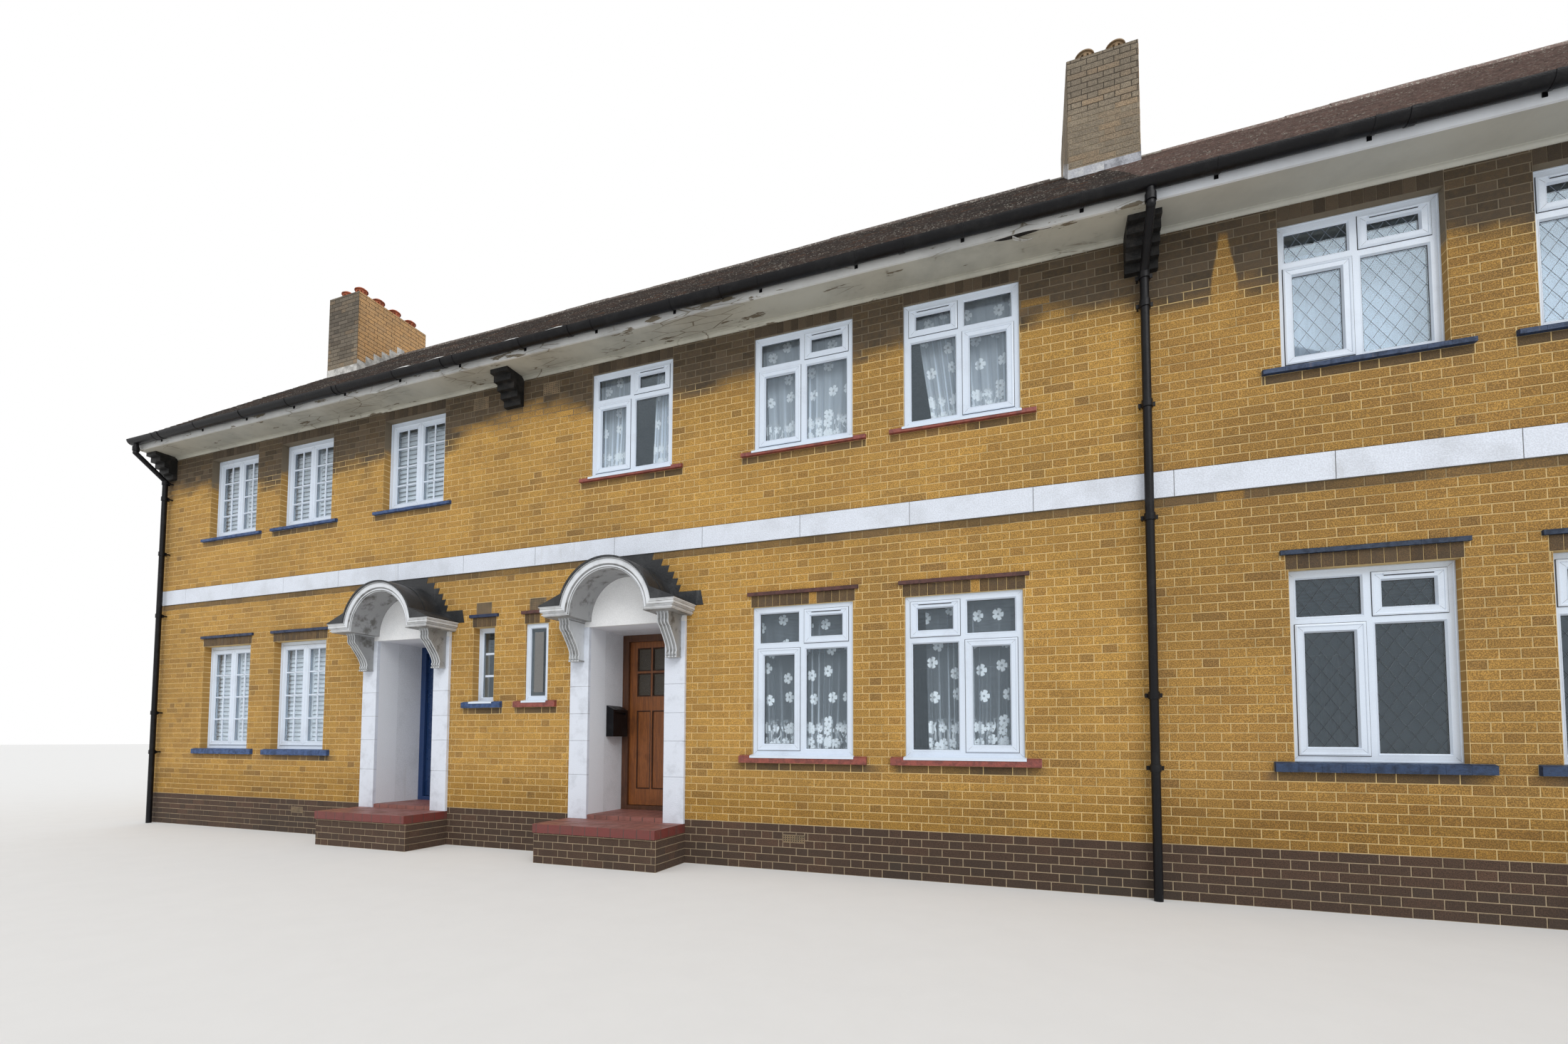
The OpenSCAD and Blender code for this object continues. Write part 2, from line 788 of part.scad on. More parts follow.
module frame(w, reveal) {
    translate([w[0], reveal, 0]) difference() {
        slab(-w[4] / 2, w[4] / 2, 0, frame_d, w[1], w[2]);
        if (w[5] == "pair") {
            l = lights(w);
            slab(l[0][0], l[1][1], -over, frame_d + over, l[0][2], l[0][3]);
        }
        for (l = lights(w)) slab(l[0], l[1], -over, frame_d + over, l[2], l[3]);
    }
}

module sash_ring(w, reveal) {
    translate([w[0], reveal, 0]) for (l = lights(w)) if (l[4]) difference() {
        slab(l[0], l[1], -sash_step, frame_d - sash_step, l[2], l[3]);
        slab(l[0] + sash_bar, l[1] - sash_bar, -sash_step - over, frame_d + over,
            l[2] + sash_bar, l[3] - sash_bar);
    }
}

module panes(w, reveal) {
    pane_y = (frame_d - glass_t) / 2;
    translate([w[0], reveal + pane_y, 0]) for (l = lights(w)) {
        bar = l[4] ? sash_bar : 0;
        slab(l[0] + bar, l[1] - bar, 0, glass_t, l[2] + bar, l[3] - bar);
    }
}

function house_windows(i) =
    concat(ground_windows(pane_kind(i)), upper_windows(pane_kind(i)), [narrow_window]);
rear_windows = concat(ground_windows("four"), upper_windows("four"));

module window_frames() {
    color("white") placed() {
        for (i = houses) at_house(i) for (w = house_windows(i)) frame(w, reveals[i]);
        at_rear() each_house() for (w = rear_windows) frame(w, reveal_rear);
    }
}

module window_sashes() {
    color("white") placed() {
        for (i = houses) at_house(i) for (w = house_windows(i)) sash_ring(w, reveals[i]);
        at_rear() each_house() for (w = rear_windows) sash_ring(w, reveal_rear);
    }
}

module window_glass() {
    color("lightblue") placed() {
        for (i = houses) at_house(i) for (w = house_windows(i)) panes(w, reveals[i]);
        at_rear() each_house() for (w = rear_windows) panes(w, reveal_rear);
        at_house(right) translate([porch_in, 0, 0]) door_lights();
    }
}

// Porch
module porch_pilasters() {
    color("white") placed() at_each_porch() both_sides()
        slab(doorway_half, surround_half, -surround_out, 0, step_z, doorway_z);
}

module porch_lintels() {
    back_r = arch_r + arch_w;
    color("white") placed() at_each_porch() along_y(-surround_out, 0) {
        translate([-surround_half, doorway_z]) square([2 * surround_half, cornice_z - doorway_z]);
        translate([-back_r, doorway_z]) square([2 * back_r, spring_z - doorway_z]);
        intersection() {
            translate([0, spring_z]) circle(back_r, $fn = 96);
            translate([-back_r, spring_z - 1]) square([2 * back_r, 2 * back_r]);
        }
    }
}

// Section of the arch and cornice moulding: distance out from its inner edge and reach in front of the wall
function moulding(w) = [[0, arch_reach - 22], [w * 0.1, arch_reach - 22], [w * 0.14, arch_reach - 12],
    [w * 0.2, arch_reach - 10], [w * 0.26, arch_reach - 12], [w * 0.3, arch_reach - 18],
    [w * 0.38, arch_reach - 18], [w * 0.42, arch_reach - 4], [w * 0.5, arch_reach], [w * 0.9, arch_reach],
    [w * 0.92, arch_reach + 8], [w, arch_reach + 8]];

module arch_zone() {
    polygon([[0, cornice_z + cornice_h], [arch_r, cornice_z], [arch_r + cornice_h, cornice_z + cornice_h],
        [arch_r + cornice_h, spring_z + 2 * arch_r], [0, spring_z + 2 * arch_r]]);
}

module porch_arches() {
    section = [for (p = moulding(arch_w)) [arch_r + p[0], p[1]]];
    color("white") placed() at_each_porch() both_sides() intersection() {
        union() {
            translate([0, 0, spring_z]) rotate([90, 0, 0]) rotate_extrude(angle = 90, $fn = 128)
                polygon(concat([[arch_r, surround_out]], section, [[arch_r + arch_w, surround_out]]));
            translate([0, 0, cornice_z]) linear_extrude(spring_z - cornice_z)
                polygon(concat([[arch_r, -surround_out]], [for (p = section) [p[0], -p[1]]],
                    [[arch_r + arch_w, -surround_out]]));
        }
        along_y(-arch_reach - 2 * lead_t, 0) arch_zone();
    }
}

// The outline of the lead seen from the front
module lead_outline() {
    fillet_x = lead_r * cos(22);
    fillet_z = lead_r * sin(22);
    top_z = cornice_z + cornice_h;
    intersection() {
        union() {
            translate([0, spring_z]) circle(lead_r, $fn = 128);
            polygon([[0, top_z], [cornice_half, top_z], [cornice_half, top_z + 10],
                [fillet_x, spring_z + fillet_z], [0, spring_z + fillet_z]]);
        }
        translate([0, top_z]) square([cornice_half + over, 2 * arch_r]);
    }
}

module porch_hoods() {
    color("dimgray") placed() at_each_porch() {
        both_sides() difference() {
            along_y(-arch_reach - lead_t, 0) lead_outline();
            along_y(-arch_reach - 2 * lead_t, over)
                translate([0, spring_z]) circle(arch_r + arch_w, $fn = 128);
        }
        intersection() {
            translate([0, -arch_reach / 2, spring_z]) rotate([90, 0, 0])
                rotate_extrude(angle = 180, $fn = 128) translate([lead_r - 2, -15]) square([10, 30]);
            slab(-2 * lead_r, 2 * lead_r, -arch_reach, 0, cornice_z + cornice_h, spring_z + 2 * lead_r);
        }
    }
}

// A cornice returned on its outer side: the front and the side section meet in a mitre
module porch_cornices() {
    section = moulding(cornice_h);
    color("white") placed() at_each_porch() both_sides() difference() {
        intersection() {
            along_x(arch_r, cornice_half) polygon(concat([[0, cornice_z]],
                [for (p = section) [-p[1] - 8, cornice_z + p[0]]], [[0, cornice_z + cornice_h]]));
            along_y(-arch_reach - 2 * lead_t, 0) polygon(concat([[arch_r, cornice_z]],
                [for (p = section) [cornice_half - (arch_reach + 8 - p[1]) * 1.6, cornice_z + p[0]]],
                [[arch_r, cornice_z + cornice_h]]));
        }
        along_y(-arch_reach - 2 * lead_t, over) arch_zone();
        along_y(-surround_out, over) translate([0, spring_z]) circle(arch_r + arch_w, $fn = 96);
        slab(0, arch_r + arch_w, -surround_out, over, cornice_z - over, spring_z);
    }
}

// Side view of a console: an S between a large scroll at the head and a small one at the foot
module console_outline(d) {
    points = 20;
    head_r = 62;
    foot_r = 34;
    function reach(t) = console_foot + (console_reach - console_foot) * (1 + cos(180 * t)) / 2;
    fall = (console_h - foot_r) / points;
    polygon(concat([[0, 0]], [for (i = [0:points]) [d - reach(i / points), -i * fall]],
        [[0, -console_h + foot_r]]));
    translate([head_r - console_reach, -head_r]) circle(head_r - d);
    foot_y = console_foot + 10 - foot_r;
    translate([-foot_y, -console_h + foot_r]) circle(foot_r - d);
    translate([-foot_y, -console_h + d]) square([foot_y, foot_r]);
}

module console() {
    flutes = 3;
    rib = console_w / (3 * flutes + 1);
    abacus = 24;
    foot_slab = 14;
    drop_r = console_w / 6;
    head_z = cornice_z - abacus;
    nose = -surround_out - console_reach;
    slab(-8, console_w + 8, nose - 14, -surround_out, head_z + abacus / 2, cornice_z);
    slab(-3, console_w + 3, nose - 6, -surround_out, head_z, cornice_z - abacus / 2);
    translate([0, -surround_out, head_z]) {
        for (k = [0:2]) translate([(2 * k + 1) * drop_r, drop_r / 2 - console_foot, drop_r - console_h])
            sphere(drop_r);
        along_x(0, console_w) console_outline(flute_d);
        for (k = [0:flutes]) along_x(3 * k * rib, (3 * k + 1) * rib) console_outline(0);
        slab(-4, console_w + 4, -console_foot - 14, 0, -console_h - foot_slab, -console_h + 4);
    }
}

module porch_consoles() {
    color("white") placed() at_each_porch() both_sides() translate([console_in, 0, 0]) console();
}

// Lead let into the brick joints in saw teeth that follow the hood, over an apron on each cornice
module hood_flashings() {
    steps = 6;
    undercut = 24;
    apron_side = 91;
    outer = lead_r + flashing_rise;
    apron_z = cornice_z + cornice_h;
    step_foot = spring_z + outer - steps * course_h;
    reach_x = cornice_half + apron_side;
    color("dimgray") placed() at_each_porch() both_sides() along_y(-flashing_t, 0) difference() {
        intersection() {
            union() {
                for (k = [1:steps]) {
                    z0 = spring_z + outer - k * course_h;
                    half = sqrt(max(0, outer * outer - (z0 - spring_z) * (z0 - spring_z)));
                    polygon([[0, z0], [half - undercut, z0], [half, z0 + course_h], [0, z0 + course_h]]);
                }
                polygon([[0, apron_z], [reach_x, apron_z], [reach_x - 30, step_foot], [arch_r, step_foot]]);
            }
            translate([0, apron_z]) square([reach_x, band_z - apron_z]);
        }
        lead_outline();
    }
}

module porch_steps() {
    color("sienna") placed() at_each_porch()
        slab(-surround_half, surround_half, step_back - step_out, 0, 0, step_z - step_tile_h);
}

module step_tiles() {
    nose = 20;
    color("firebrick") placed() at_each_porch() {
        slab(-surround_half, surround_half, -step_out, 0, step_z - step_tile_h, step_z);
        slab(-doorway_half, doorway_half, -nose, lobby_d, step_z, lobby_floor_z);
    }
}

// Doors. The hinge side of every door is the side of its party line.
module hinge_parts(moving) {
    third = hinge_h / 3;
    for (z = hinge_levels, k = [0:2]) if ((k == 1) != moving) {
        z0 = z - hinge_h / 2 + k * third + (k > 0 ? knuckle_gap : 0);
        z1 = z - hinge_h / 2 + (k + 1) * third;
        plate_x = moving ? -leaf_half - hinge_plate : -leaf_half - door_gap;
        translate([-hinge_x, hinge_y, z0]) cylinder(r = knuckle_r, h = z1 - z0, $fn = 24);
        slab(plate_x, plate_x + hinge_plate, door_y + 10, hinge_y, z0, z1);
    }
}

module door_frames() {
    sill_top = door_z - door_gap;
    color("white") placed() at_each_porch() {
        difference() {
            slab(-doorway_half, doorway_half, lobby_d, door_y + door_t, step_z, doorway_z);
            stop_half = leaf_half - door_stop + door_gap;
            gap_half = leaf_half + door_gap;
            slab(-stop_half, stop_half, 0, door_y + door_t + over, sill_top, door_top - door_stop + door_gap);
            slab(-gap_half, gap_half, door_y - door_gap, door_y + door_t + over, sill_top, door_top + door_gap);
        }
        hinge_parts(false);
    }
}

panel_w = (door_w - 2 * door_stile - 2 * door_bar) / 3;
panel_z = door_z + door_foot_rail;
light_z = panel_z + door_panel_h + door_lock_rail;
light_h = (door_top - door_head_rail - light_z - door_bar) / 2;

module door_leaf() {
    difference() {
        slab(-leaf_half, leaf_half, door_y, door_y + door_t, door_z, door_top);
        for (i = [0:2]) {
            x = -leaf_half + door_stile + i * (panel_w + door_bar);
            for (y = [door_y - over, door_y + door_t - door_sink])
                slab(x, x + panel_w, y, y + door_sink + over, panel_z, panel_z + door_panel_h);
            for (k = [0, 1])
                slab(x, x + panel_w, 0, door_y + door_t + over, light_z + k * (light_h + door_bar),
                    light_z + k * (light_h + door_bar) + light_h);
        }
    }
    hinge_parts(true);
}

module door_lights() {
    thick = 8;
    for (i = [0:2], k = [0, 1]) {
        x = -leaf_half + door_stile + i * (panel_w + door_bar);
        z = light_z + k * (light_h + door_bar);
        slab(x, x + panel_w, door_y + (door_t - thick) / 2, door_y + (door_t + thick) / 2, z, z + light_h);
    }
}

module at_door(i) {
    at_house(i) translate([porch_in, 0, 0]) children();
}

module door_left() {
    color("steelblue") placed() at_door(left) door_leaf();
}

module door_middle() {
    color("saddlebrown") placed() at_door(middle) door_leaf();
}

module door_right() {
    color("white") placed() at_door(right) door_leaf();
}

module door_glass_left() {
    color("lightblue") placed() at_door(left) door_lights();
}

module door_glass_middle() {
    color("lightblue") placed() at_door(middle) door_lights();
}

// A letter box on the lobby wall beside the middle door, with a sloped lid and a slot
module letter_box() {
    box_w = 100;
    box_h = 367;
    box_z = 1333;
    y0 = wall_t + 36;
    y1 = y0 + 290;
    slot_z = box_z + box_h - 50;
    color("black") placed() at_door(middle) translate([-doorway_half, 0, 0]) difference() {
        along_y(y0, y1) polygon([[0, box_z], [box_w, box_z], [box_w, slot_z], [0, box_z + box_h]]);
        slab(box_w - 20, box_w + over, y0 + 40, y1 - 40, slot_z - 60, slot_z - 30);
    }
}

plinth();
front_wall_main();
front_wall_side();
front_wall_over_doors();
front_wall_upper();
rear_wall();
party_walls();
band_course();
brick_corbels();
tile_creasings();
window_sills();
air_bricks();
ground_floor();
first_floor();
ceiling();
lobby_walls();
roof_front();
roof_rear();
ridge_tiles();
soffits();
fascias();
gutters();
downpipes();
chimney_stacks();
chimney_pots();
chimney_flashings();
window_frames();
window_sashes();
window_glass();
porch_pilasters();
porch_lintels();
porch_arches();
porch_hoods();
porch_cornices();
porch_consoles();
hood_flashings();
porch_steps();
step_tiles();
door_frames();
door_left();
door_middle();
door_right();
door_glass_left();
door_glass_middle();
letter_box();
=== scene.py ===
# %% [markdown]
# # A terraced house row, from its frame to its finish
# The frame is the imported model: every node of it already stands in its place, in metres. This lesson gives
# each node a finish worked out by shader nodes, and lays over the walls and slopes what a wall really is made
# of: bricks, tiles, blocks, beads and bars. Everything is placed by the same few sizes as the frame.

# %% Frame
import math
from types import SimpleNamespace
import bpy
import numpy as np
from mathutils import Matrix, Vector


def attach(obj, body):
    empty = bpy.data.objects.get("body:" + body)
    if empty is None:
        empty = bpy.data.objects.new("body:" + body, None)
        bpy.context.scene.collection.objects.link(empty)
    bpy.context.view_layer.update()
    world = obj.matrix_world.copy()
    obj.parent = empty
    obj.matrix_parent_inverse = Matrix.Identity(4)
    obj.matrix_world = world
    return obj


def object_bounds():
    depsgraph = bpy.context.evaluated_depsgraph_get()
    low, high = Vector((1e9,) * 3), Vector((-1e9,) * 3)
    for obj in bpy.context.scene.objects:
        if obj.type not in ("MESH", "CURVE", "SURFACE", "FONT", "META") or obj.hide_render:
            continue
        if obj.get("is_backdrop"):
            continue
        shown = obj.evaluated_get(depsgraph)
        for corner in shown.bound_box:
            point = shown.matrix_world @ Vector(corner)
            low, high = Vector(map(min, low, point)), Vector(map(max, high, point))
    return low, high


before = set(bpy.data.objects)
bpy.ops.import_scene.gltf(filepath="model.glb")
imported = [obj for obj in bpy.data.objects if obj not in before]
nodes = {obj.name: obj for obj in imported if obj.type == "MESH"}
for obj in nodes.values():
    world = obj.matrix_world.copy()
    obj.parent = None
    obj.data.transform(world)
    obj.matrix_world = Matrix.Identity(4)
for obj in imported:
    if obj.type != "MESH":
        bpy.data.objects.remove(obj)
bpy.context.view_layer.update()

# %% [markdown]
# ## Sizes that the whole row shares
# The brick course is the module of this building: doors, windows, sills and bands all start and end on it.
# A few planes and lines say where the front, the rear, the party walls and the roof are, so that later cells
# can speak of a wall or a window and not of bare numbers.

# %% Sizes
COURSE = 0.0762
STRETCHER = 0.251
HEADER = 0.1205
HOUSE = 6.790
PARTY = [-10.185, -3.395, 3.395, 10.185]
ROW_END = 10.2975
FRONT = -3.317
REAR = 3.383
PLINTH_TOP = 0.457
BAND_FOOT = 3.353
BAND_TOP = 3.581
EAVES = 5.690
PITCH = math.radians(40.5)
TILE_EDGE = 0.440
TILE_FOOT = EAVES + 0.145
RIDGE_Y = (FRONT + REAR) / 2
RIDGE_Z = TILE_FOOT + math.tan(PITCH) * (RIDGE_Y - FRONT + TILE_EDGE)
UNDER_ROOF = 0.130 / math.cos(PITCH)
STACK_LOW = RIDGE_Y - 0.920
STACK_HIGH = RIDGE_Y + 0.570
STACK_TOP = RIDGE_Z + 0.800
STACKS = [(-ROW_END, -ROW_END + 0.806), (PARTY[2] - 0.403, PARTY[2] + 0.403)]
STEP_FRONT = FRONT - 0.583
STEP_HALF = 0.739
STEP_TOP = 0.318
STEP_TILE = 0.153
rng = np.random.default_rng(1929)
print("ridge at", round(RIDGE_Z, 3), "stack top at", round(STACK_TOP, 3))

# %% [markdown]
# ## Three houses and their windows
# Each house is the mirror of its neighbour about the party wall between them, so a place in a house is told
# by its distance from the line where that house starts, and a sign says which way the distance runs.
# A window is a list of lights. A light with a sash has a wider bar round its glass than one without.

# %% Houses and windows
HOUSES = [("left", PARTY[1], -1, 0.100), ("middle", PARTY[1], 1, 0.025), ("right", PARTY[3], -1, 0.075)]
WINDOW_AT = [1.655, HOUSE - 3.0935, HOUSE - 1.524]
GROUND = (1.143, 2.667, 0.412)
NARROW = (1.752, 2.667, 0)
UPPER = (4.313, 5.532, 0.342)
FRAME_BAR = 0.058
FRAME_DEEP = 0.060
SASH_BAR = 0.048
GLASS_BACK = 0.020
REAR_REVEAL = 0.060
PORCHES = [start + sign * 1.655 for _, start, sign, _ in HOUSES]


def window(start, sign, at, levels, kind, reveal, house):
    """One window: its middle is start + sign * at, and its lights are [low, high, foot, head, has a sash]."""
    foot, head, drop = levels
    half, bar = (0.1655, 0.046) if kind == "narrow" else (0.531, FRAME_BAR)
    mid, x = FRAME_BAR / 2, half - bar
    z0, z1, split = foot + bar, head - bar, head - drop
    if kind == "narrow":
        lights = [(-x, x, z0, z1, False)]
    elif kind == "pair":
        lights = [(-x, -0.001, z0, z1, True), (0.001, x, z0, z1, True)]
    else:
        turned = kind == "four_turned"
        lights = [(-x, -mid, z0, split - mid, not turned), (mid, x, z0, split - mid, turned),
                  (-x, -mid, split + mid, z1, turned), (mid, x, split + mid, z1, not turned)]
    middle = start + sign * at
    placed = [(*sorted((middle + sign * a, middle + sign * b)), *rest) for a, b, *rest in lights]
    upper = foot > BAND_TOP
    return SimpleNamespace(x=middle, half=half, foot=foot, head=head, reveal=reveal, kind=kind, house=house,
                           lights=placed, upper=upper, sill=0.046 if upper else 0.076)


windows, rear_windows = [], []
for house, start, sign, reveal in HOUSES:
    four = ["four", "four", "four_turned"]
    for at, kind, back in zip(WINDOW_AT, ["pair"] * 3 if house == "left" else four, four):
        for levels in (UPPER,) if at == WINDOW_AT[0] else (GROUND, UPPER):
            windows.append(window(start, sign, at, levels, kind, reveal, house))
            rear_windows.append(window(start, sign, at, levels, back, REAR_REVEAL, house))
    windows.append(window(start, sign, 0.400, NARROW, "narrow", reveal, house))
WALLS = (("front", windows, 1.0), ("rear", rear_windows, -1.0))
print(len(windows), "windows in front and", len(rear_windows), "behind")

# %% [markdown]
# ## Helpers for meshes
# A piece could be modelled by hand in the viewport, but a wall of thousands of bricks is better worked out
# as whole arrays: one row of numbers per brick, then all corners of all bricks at once. The helpers below
# turn such arrays into a mesh and let it ride on a body of the frame. A shape is a pair of points and faces.

# %% Mesh helpers
def piece(name, shape, material, body="root", values=None, smooth=False):
    """A mesh from an array of points and one or more arrays of corner numbers, with named point values."""
    points, faces = shape
    mesh = bpy.data.meshes.new(name)
    groups = faces if isinstance(faces, list) else [faces]
    mesh.from_pydata(np.asarray(points).reshape(-1, 3).tolist(), [], [f for g in groups for f in g.tolist()])
    for label, data in (values or {}).items():
        layer = mesh.attributes.new(label, "FLOAT_VECTOR", "POINT")
        layer.data.foreach_set("vector", np.asarray(data, np.float32).ravel())
    mesh.polygons.foreach_set("use_smooth", np.full(len(mesh.polygons), smooth))
    mesh.update()
    thing = bpy.data.objects.new(name, mesh)
    bpy.context.scene.collection.objects.link(thing)
    mesh.materials.append(material)
    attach(thing, body)
    print(name, len(mesh.vertices), "points", sum(len(p.vertices) - 2 for p in mesh.polygons), "triangles")
    return thing


SIDES = {
    "front": ((0, FRONT, 0), (1, 0, 0), (0, -1, 0)),
    "rear": ((0, REAR, 0), (-1, 0, 0), (0, 1, 0)),
    "left": ((-ROW_END, 0, 0), (0, -1, 0), (-1, 0, 0)),
    "right": ((ROW_END, 0, 0), (0, 1, 0), (1, 0, 0)),
}


def axes(side):
    """The foot of a side, the way along it and the way ahead of it. A side is a name or three vectors."""
    return [np.array(a, float) for a in (SIDES[side] if isinstance(side, str) else side)]


def on_side(side, u, v, out):
    """Point = foot of the side + u along it + out in front of it + v upwards, for arrays u, v and out."""
    foot, along, ahead = axes(side)
    u, v, out = np.broadcast_arrays(u, v, out)
    return foot + u[..., None] * along + out[..., None] * ahead + v[..., None] * np.array([0.0, 0.0, 1.0])


def many(pattern, count, size):
    """The faces of one piece, repeated for count pieces of size points each."""
    return (np.asarray(pattern)[None] + np.arange(count)[:, None, None] * size).reshape(-1, len(pattern[0]))


def rings(loops, sides=4, closed=False):
    """Faces between neighbouring loops of corners: each quad joins edge i of one loop to that of the next."""
    quads = []
    for a in range(loops if closed else loops - 1):
        b = (a + 1) % loops
        for i in range(sides):
            j = (i + 1) % sides
            quads.append([a * sides + i, a * sides + j, b * sides + j, b * sides + i])
    return quads


def slabs(side, corners, outs):
    """Boxes from rows of four corners (u, v), between two distances out in front of the side."""
    loops = [on_side(side, corners[..., 0], corners[..., 1], out) for out in outs]
    return np.stack(loops, 1), many(rings(2) + [[4, 5, 6, 7], [3, 2, 1, 0]], len(corners), 8)


def cut(cells, holes, least=0.012):
    """Rectangles [u0, u1, v0, v1, ...] less holes: what lies left, right, below and above of each hole."""
    for a, b, c, d in holes:
        hit = (cells[:, 0] < b) & (cells[:, 1] > a) & (cells[:, 2] < d) & (cells[:, 3] > c)
        near = cells[hit]
        left, right, low, high = near.copy(), near.copy(), near.copy(), near.copy()
        left[:, 1] = np.minimum(near[:, 1], a)
        right[:, 0] = np.maximum(near[:, 0], b)
        for part in (low, high):
            part[:, 0] = np.maximum(near[:, 0], a)
            part[:, 1] = np.minimum(near[:, 1], b)
        low[:, 3] = np.minimum(near[:, 3], c)
        high[:, 2] = np.maximum(near[:, 2], d)
        cells = np.vstack([cells[~hit], left, right, low, high])
        cells = cells[(cells[:, 1] - cells[:, 0] > least) & (cells[:, 3] - cells[:, 2] > least)]
    return cells


INWARDS_U = np.array([1, -1, -1, 1])
INWARDS_V = np.array([1, 1, -1, -1])


def blocks(side, cells, joint=0.0, stand=0.003, arris=0.002, base=0.0, wobble=0.0, top=None, foot=None):
    """Blocks on a side, one for each rectangle. A block has three loops of four corners: behind the wall
    face, at its outer arris and round its face, which is smaller by the arris. top and foot limit v."""
    cells, half = np.asarray(cells), joint / 2
    u = cells[:, [0, 1, 1, 0]] + INWARDS_U * half
    v = cells[:, [2, 2, 3, 3]] + INWARDS_V * half
    base = np.broadcast_to(base, len(cells))[:, None]
    loops = []
    for inset, out in ((0, -0.004), (0, stand - arris), (arris, stand)):
        uu = u + INWARDS_U * inset
        vv = v + INWARDS_V * inset
        oo = base + out + np.zeros_like(uu)
        if inset and wobble:
            uu = uu + rng.normal(0, wobble, uu.shape)
            vv = vv + rng.normal(0, wobble * 0.7, uu.shape)
            oo = oo + rng.normal(0, wobble * 0.5, (len(cells), 1)) + rng.normal(0, wobble * 0.2, uu.shape)
        if top is not None:
            vv = np.minimum(vv, top(uu) - half)
        if foot is not None:
            vv = np.maximum(vv, foot(uu) + half)
        loops.append(on_side(side, uu, vv, oo))
    return np.stack(loops, 1), many(rings(3) + [[8, 9, 10, 11], [3, 2, 1, 0]], len(cells), 12)


def framed(side, cells, section, base=0.0):
    """A mitred ring inside each rectangle. section is a closed list of (inset, out) round the ring's bar."""
    cells = np.asarray(cells)
    u, v = cells[:, [0, 1, 1, 0]], cells[:, [2, 2, 3, 3]]
    base = np.broadcast_to(base, len(cells))[:, None]
    loops = [on_side(side, u + INWARDS_U * inset, v + INWARDS_V * inset, base + out)
             for inset, out in section]
    return np.stack(loops, 1), many(rings(len(section), closed=True), len(cells), 4 * len(section))


def extruded(sections, low, high):
    """Prisms along x: sections is (count, corners, 2) with y and z, low and high are the two ends."""
    count, corners = sections.shape[:2]
    ends = []
    for x in (low, high):
        xs = np.broadcast_to(np.asarray(x, float)[:, None], (count, corners))
        ends.append(np.stack([xs, sections[..., 0], sections[..., 1]], -1))
    caps = [list(range(corners)), list(range(2 * corners - 1, corners - 1, -1))]
    sides = [[q[1], q[0], q[3], q[2]] for q in rings(2, corners)]
    return np.stack(ends, 1), [many(sides, count, 2 * corners), many(caps, count, 2 * corners)]


def ribbon(route, wide, thick):
    """A flat strip along a route. At each point the section reaches wide / 2 to both sides, and thick / 2 to
    both sides along the normal, which is the route's direction crossed with wide."""
    route, wide = np.array(route, float), np.broadcast_to(np.array(wide, float), np.shape(route))
    normal = np.cross(np.gradient(route, axis=0), wide)
    normal *= thick / 2 / np.linalg.norm(normal, axis=1)[:, None]
    loops = np.stack([route - wide / 2 - normal, route + wide / 2 - normal, route + wide / 2 + normal,
                      route - wide / 2 + normal], 1)
    last = 4 * len(route) - 4
    return loops, np.array(rings(len(route)) + [[3, 2, 1, 0], [last, last + 1, last + 2, last + 3]])


def joined(*parts):
    """Several (points, faces) made one: the corner numbers of each part follow those before it."""
    points, faces, start = [], [], 0
    for p, f in parts:
        p = np.asarray(p).reshape(-1, 3)
        points.append(p)
        faces += [g + start for g in (f if isinstance(f, list) else [f])]
        start += len(p)
    return np.vstack(points), faces


def drift(u, v, size, seed):
    """Smooth noise from 0 to 1: random numbers on a grid of the given size, blended between its corners."""
    table = np.random.default_rng(seed).random((512, 512))
    a, b = np.asarray(u) / size, np.asarray(v) / size
    i, j = np.floor(a).astype(int), np.floor(b).astype(int)
    s, t = a - i, b - j
    s, t = s * s * (3 - 2 * s), t * t * (3 - 2 * t)
    corner = {(p, q): table[(i + p) % 512, (j + q) % 512] for p in (0, 1) for q in (0, 1)}
    low = corner[0, 0] * (1 - s) + corner[1, 0] * s
    high = corner[0, 1] * (1 - s) + corner[1, 1] * s
    return low * (1 - t) + high * t


# %% [markdown]
# ## Helpers for finishes
# A finish is a tree of shader nodes. The shader itself, with its plain numbers, stays in each material. What
# several finishes share, such as blotches, streaks or the mask of a house, is a node group that only gives
# out masks. Patterns follow Object coordinates, which here are metres in the row's own frame. A helper finds
# its tree by the sockets it is given, so that a formula of nodes reads nearly like a formula of numbers.

# %% Node helpers
def feed(socket, value):
    """Links another node's output to a socket, or sets the socket's own number or colour."""
    if isinstance(value, bpy.types.NodeSocket):
        socket.id_data.links.new(value, socket)
    else:
        socket.default_value = (*value, 1.0) if socket.type == "RGBA" else value


def add(tree, kind, inputs=None, **settings):
    """One shader node with its settings. Each input is a number, a colour or another node's output."""
    node = tree.nodes.new("ShaderNode" + kind)
    for key, value in settings.items():
        setattr(node, key, value)
    for key, value in (inputs or {}).items():
        feed(node.inputs[key], value)
    return node


def tree_of(*values):
    """The tree in which the first socket among the values lies."""
    return next(v.id_data for v in values if isinstance(v, bpy.types.NodeSocket))


def math_by(operation):
    """A helper that puts one or two numbers through a Math node."""
    return lambda a, b=0.0: add(tree_of(a, b), "Math", {0: a, 1: b}, operation=operation).outputs[0]


plus, minus, times, over = map(math_by, ("ADD", "SUBTRACT", "MULTIPLY", "DIVIDE"))
larger, smaller, above, below = map(math_by, ("MAXIMUM", "MINIMUM", "GREATER_THAN", "LESS_THAN"))
positive, fraction = map(math_by, ("ABSOLUTE", "FRACT"))


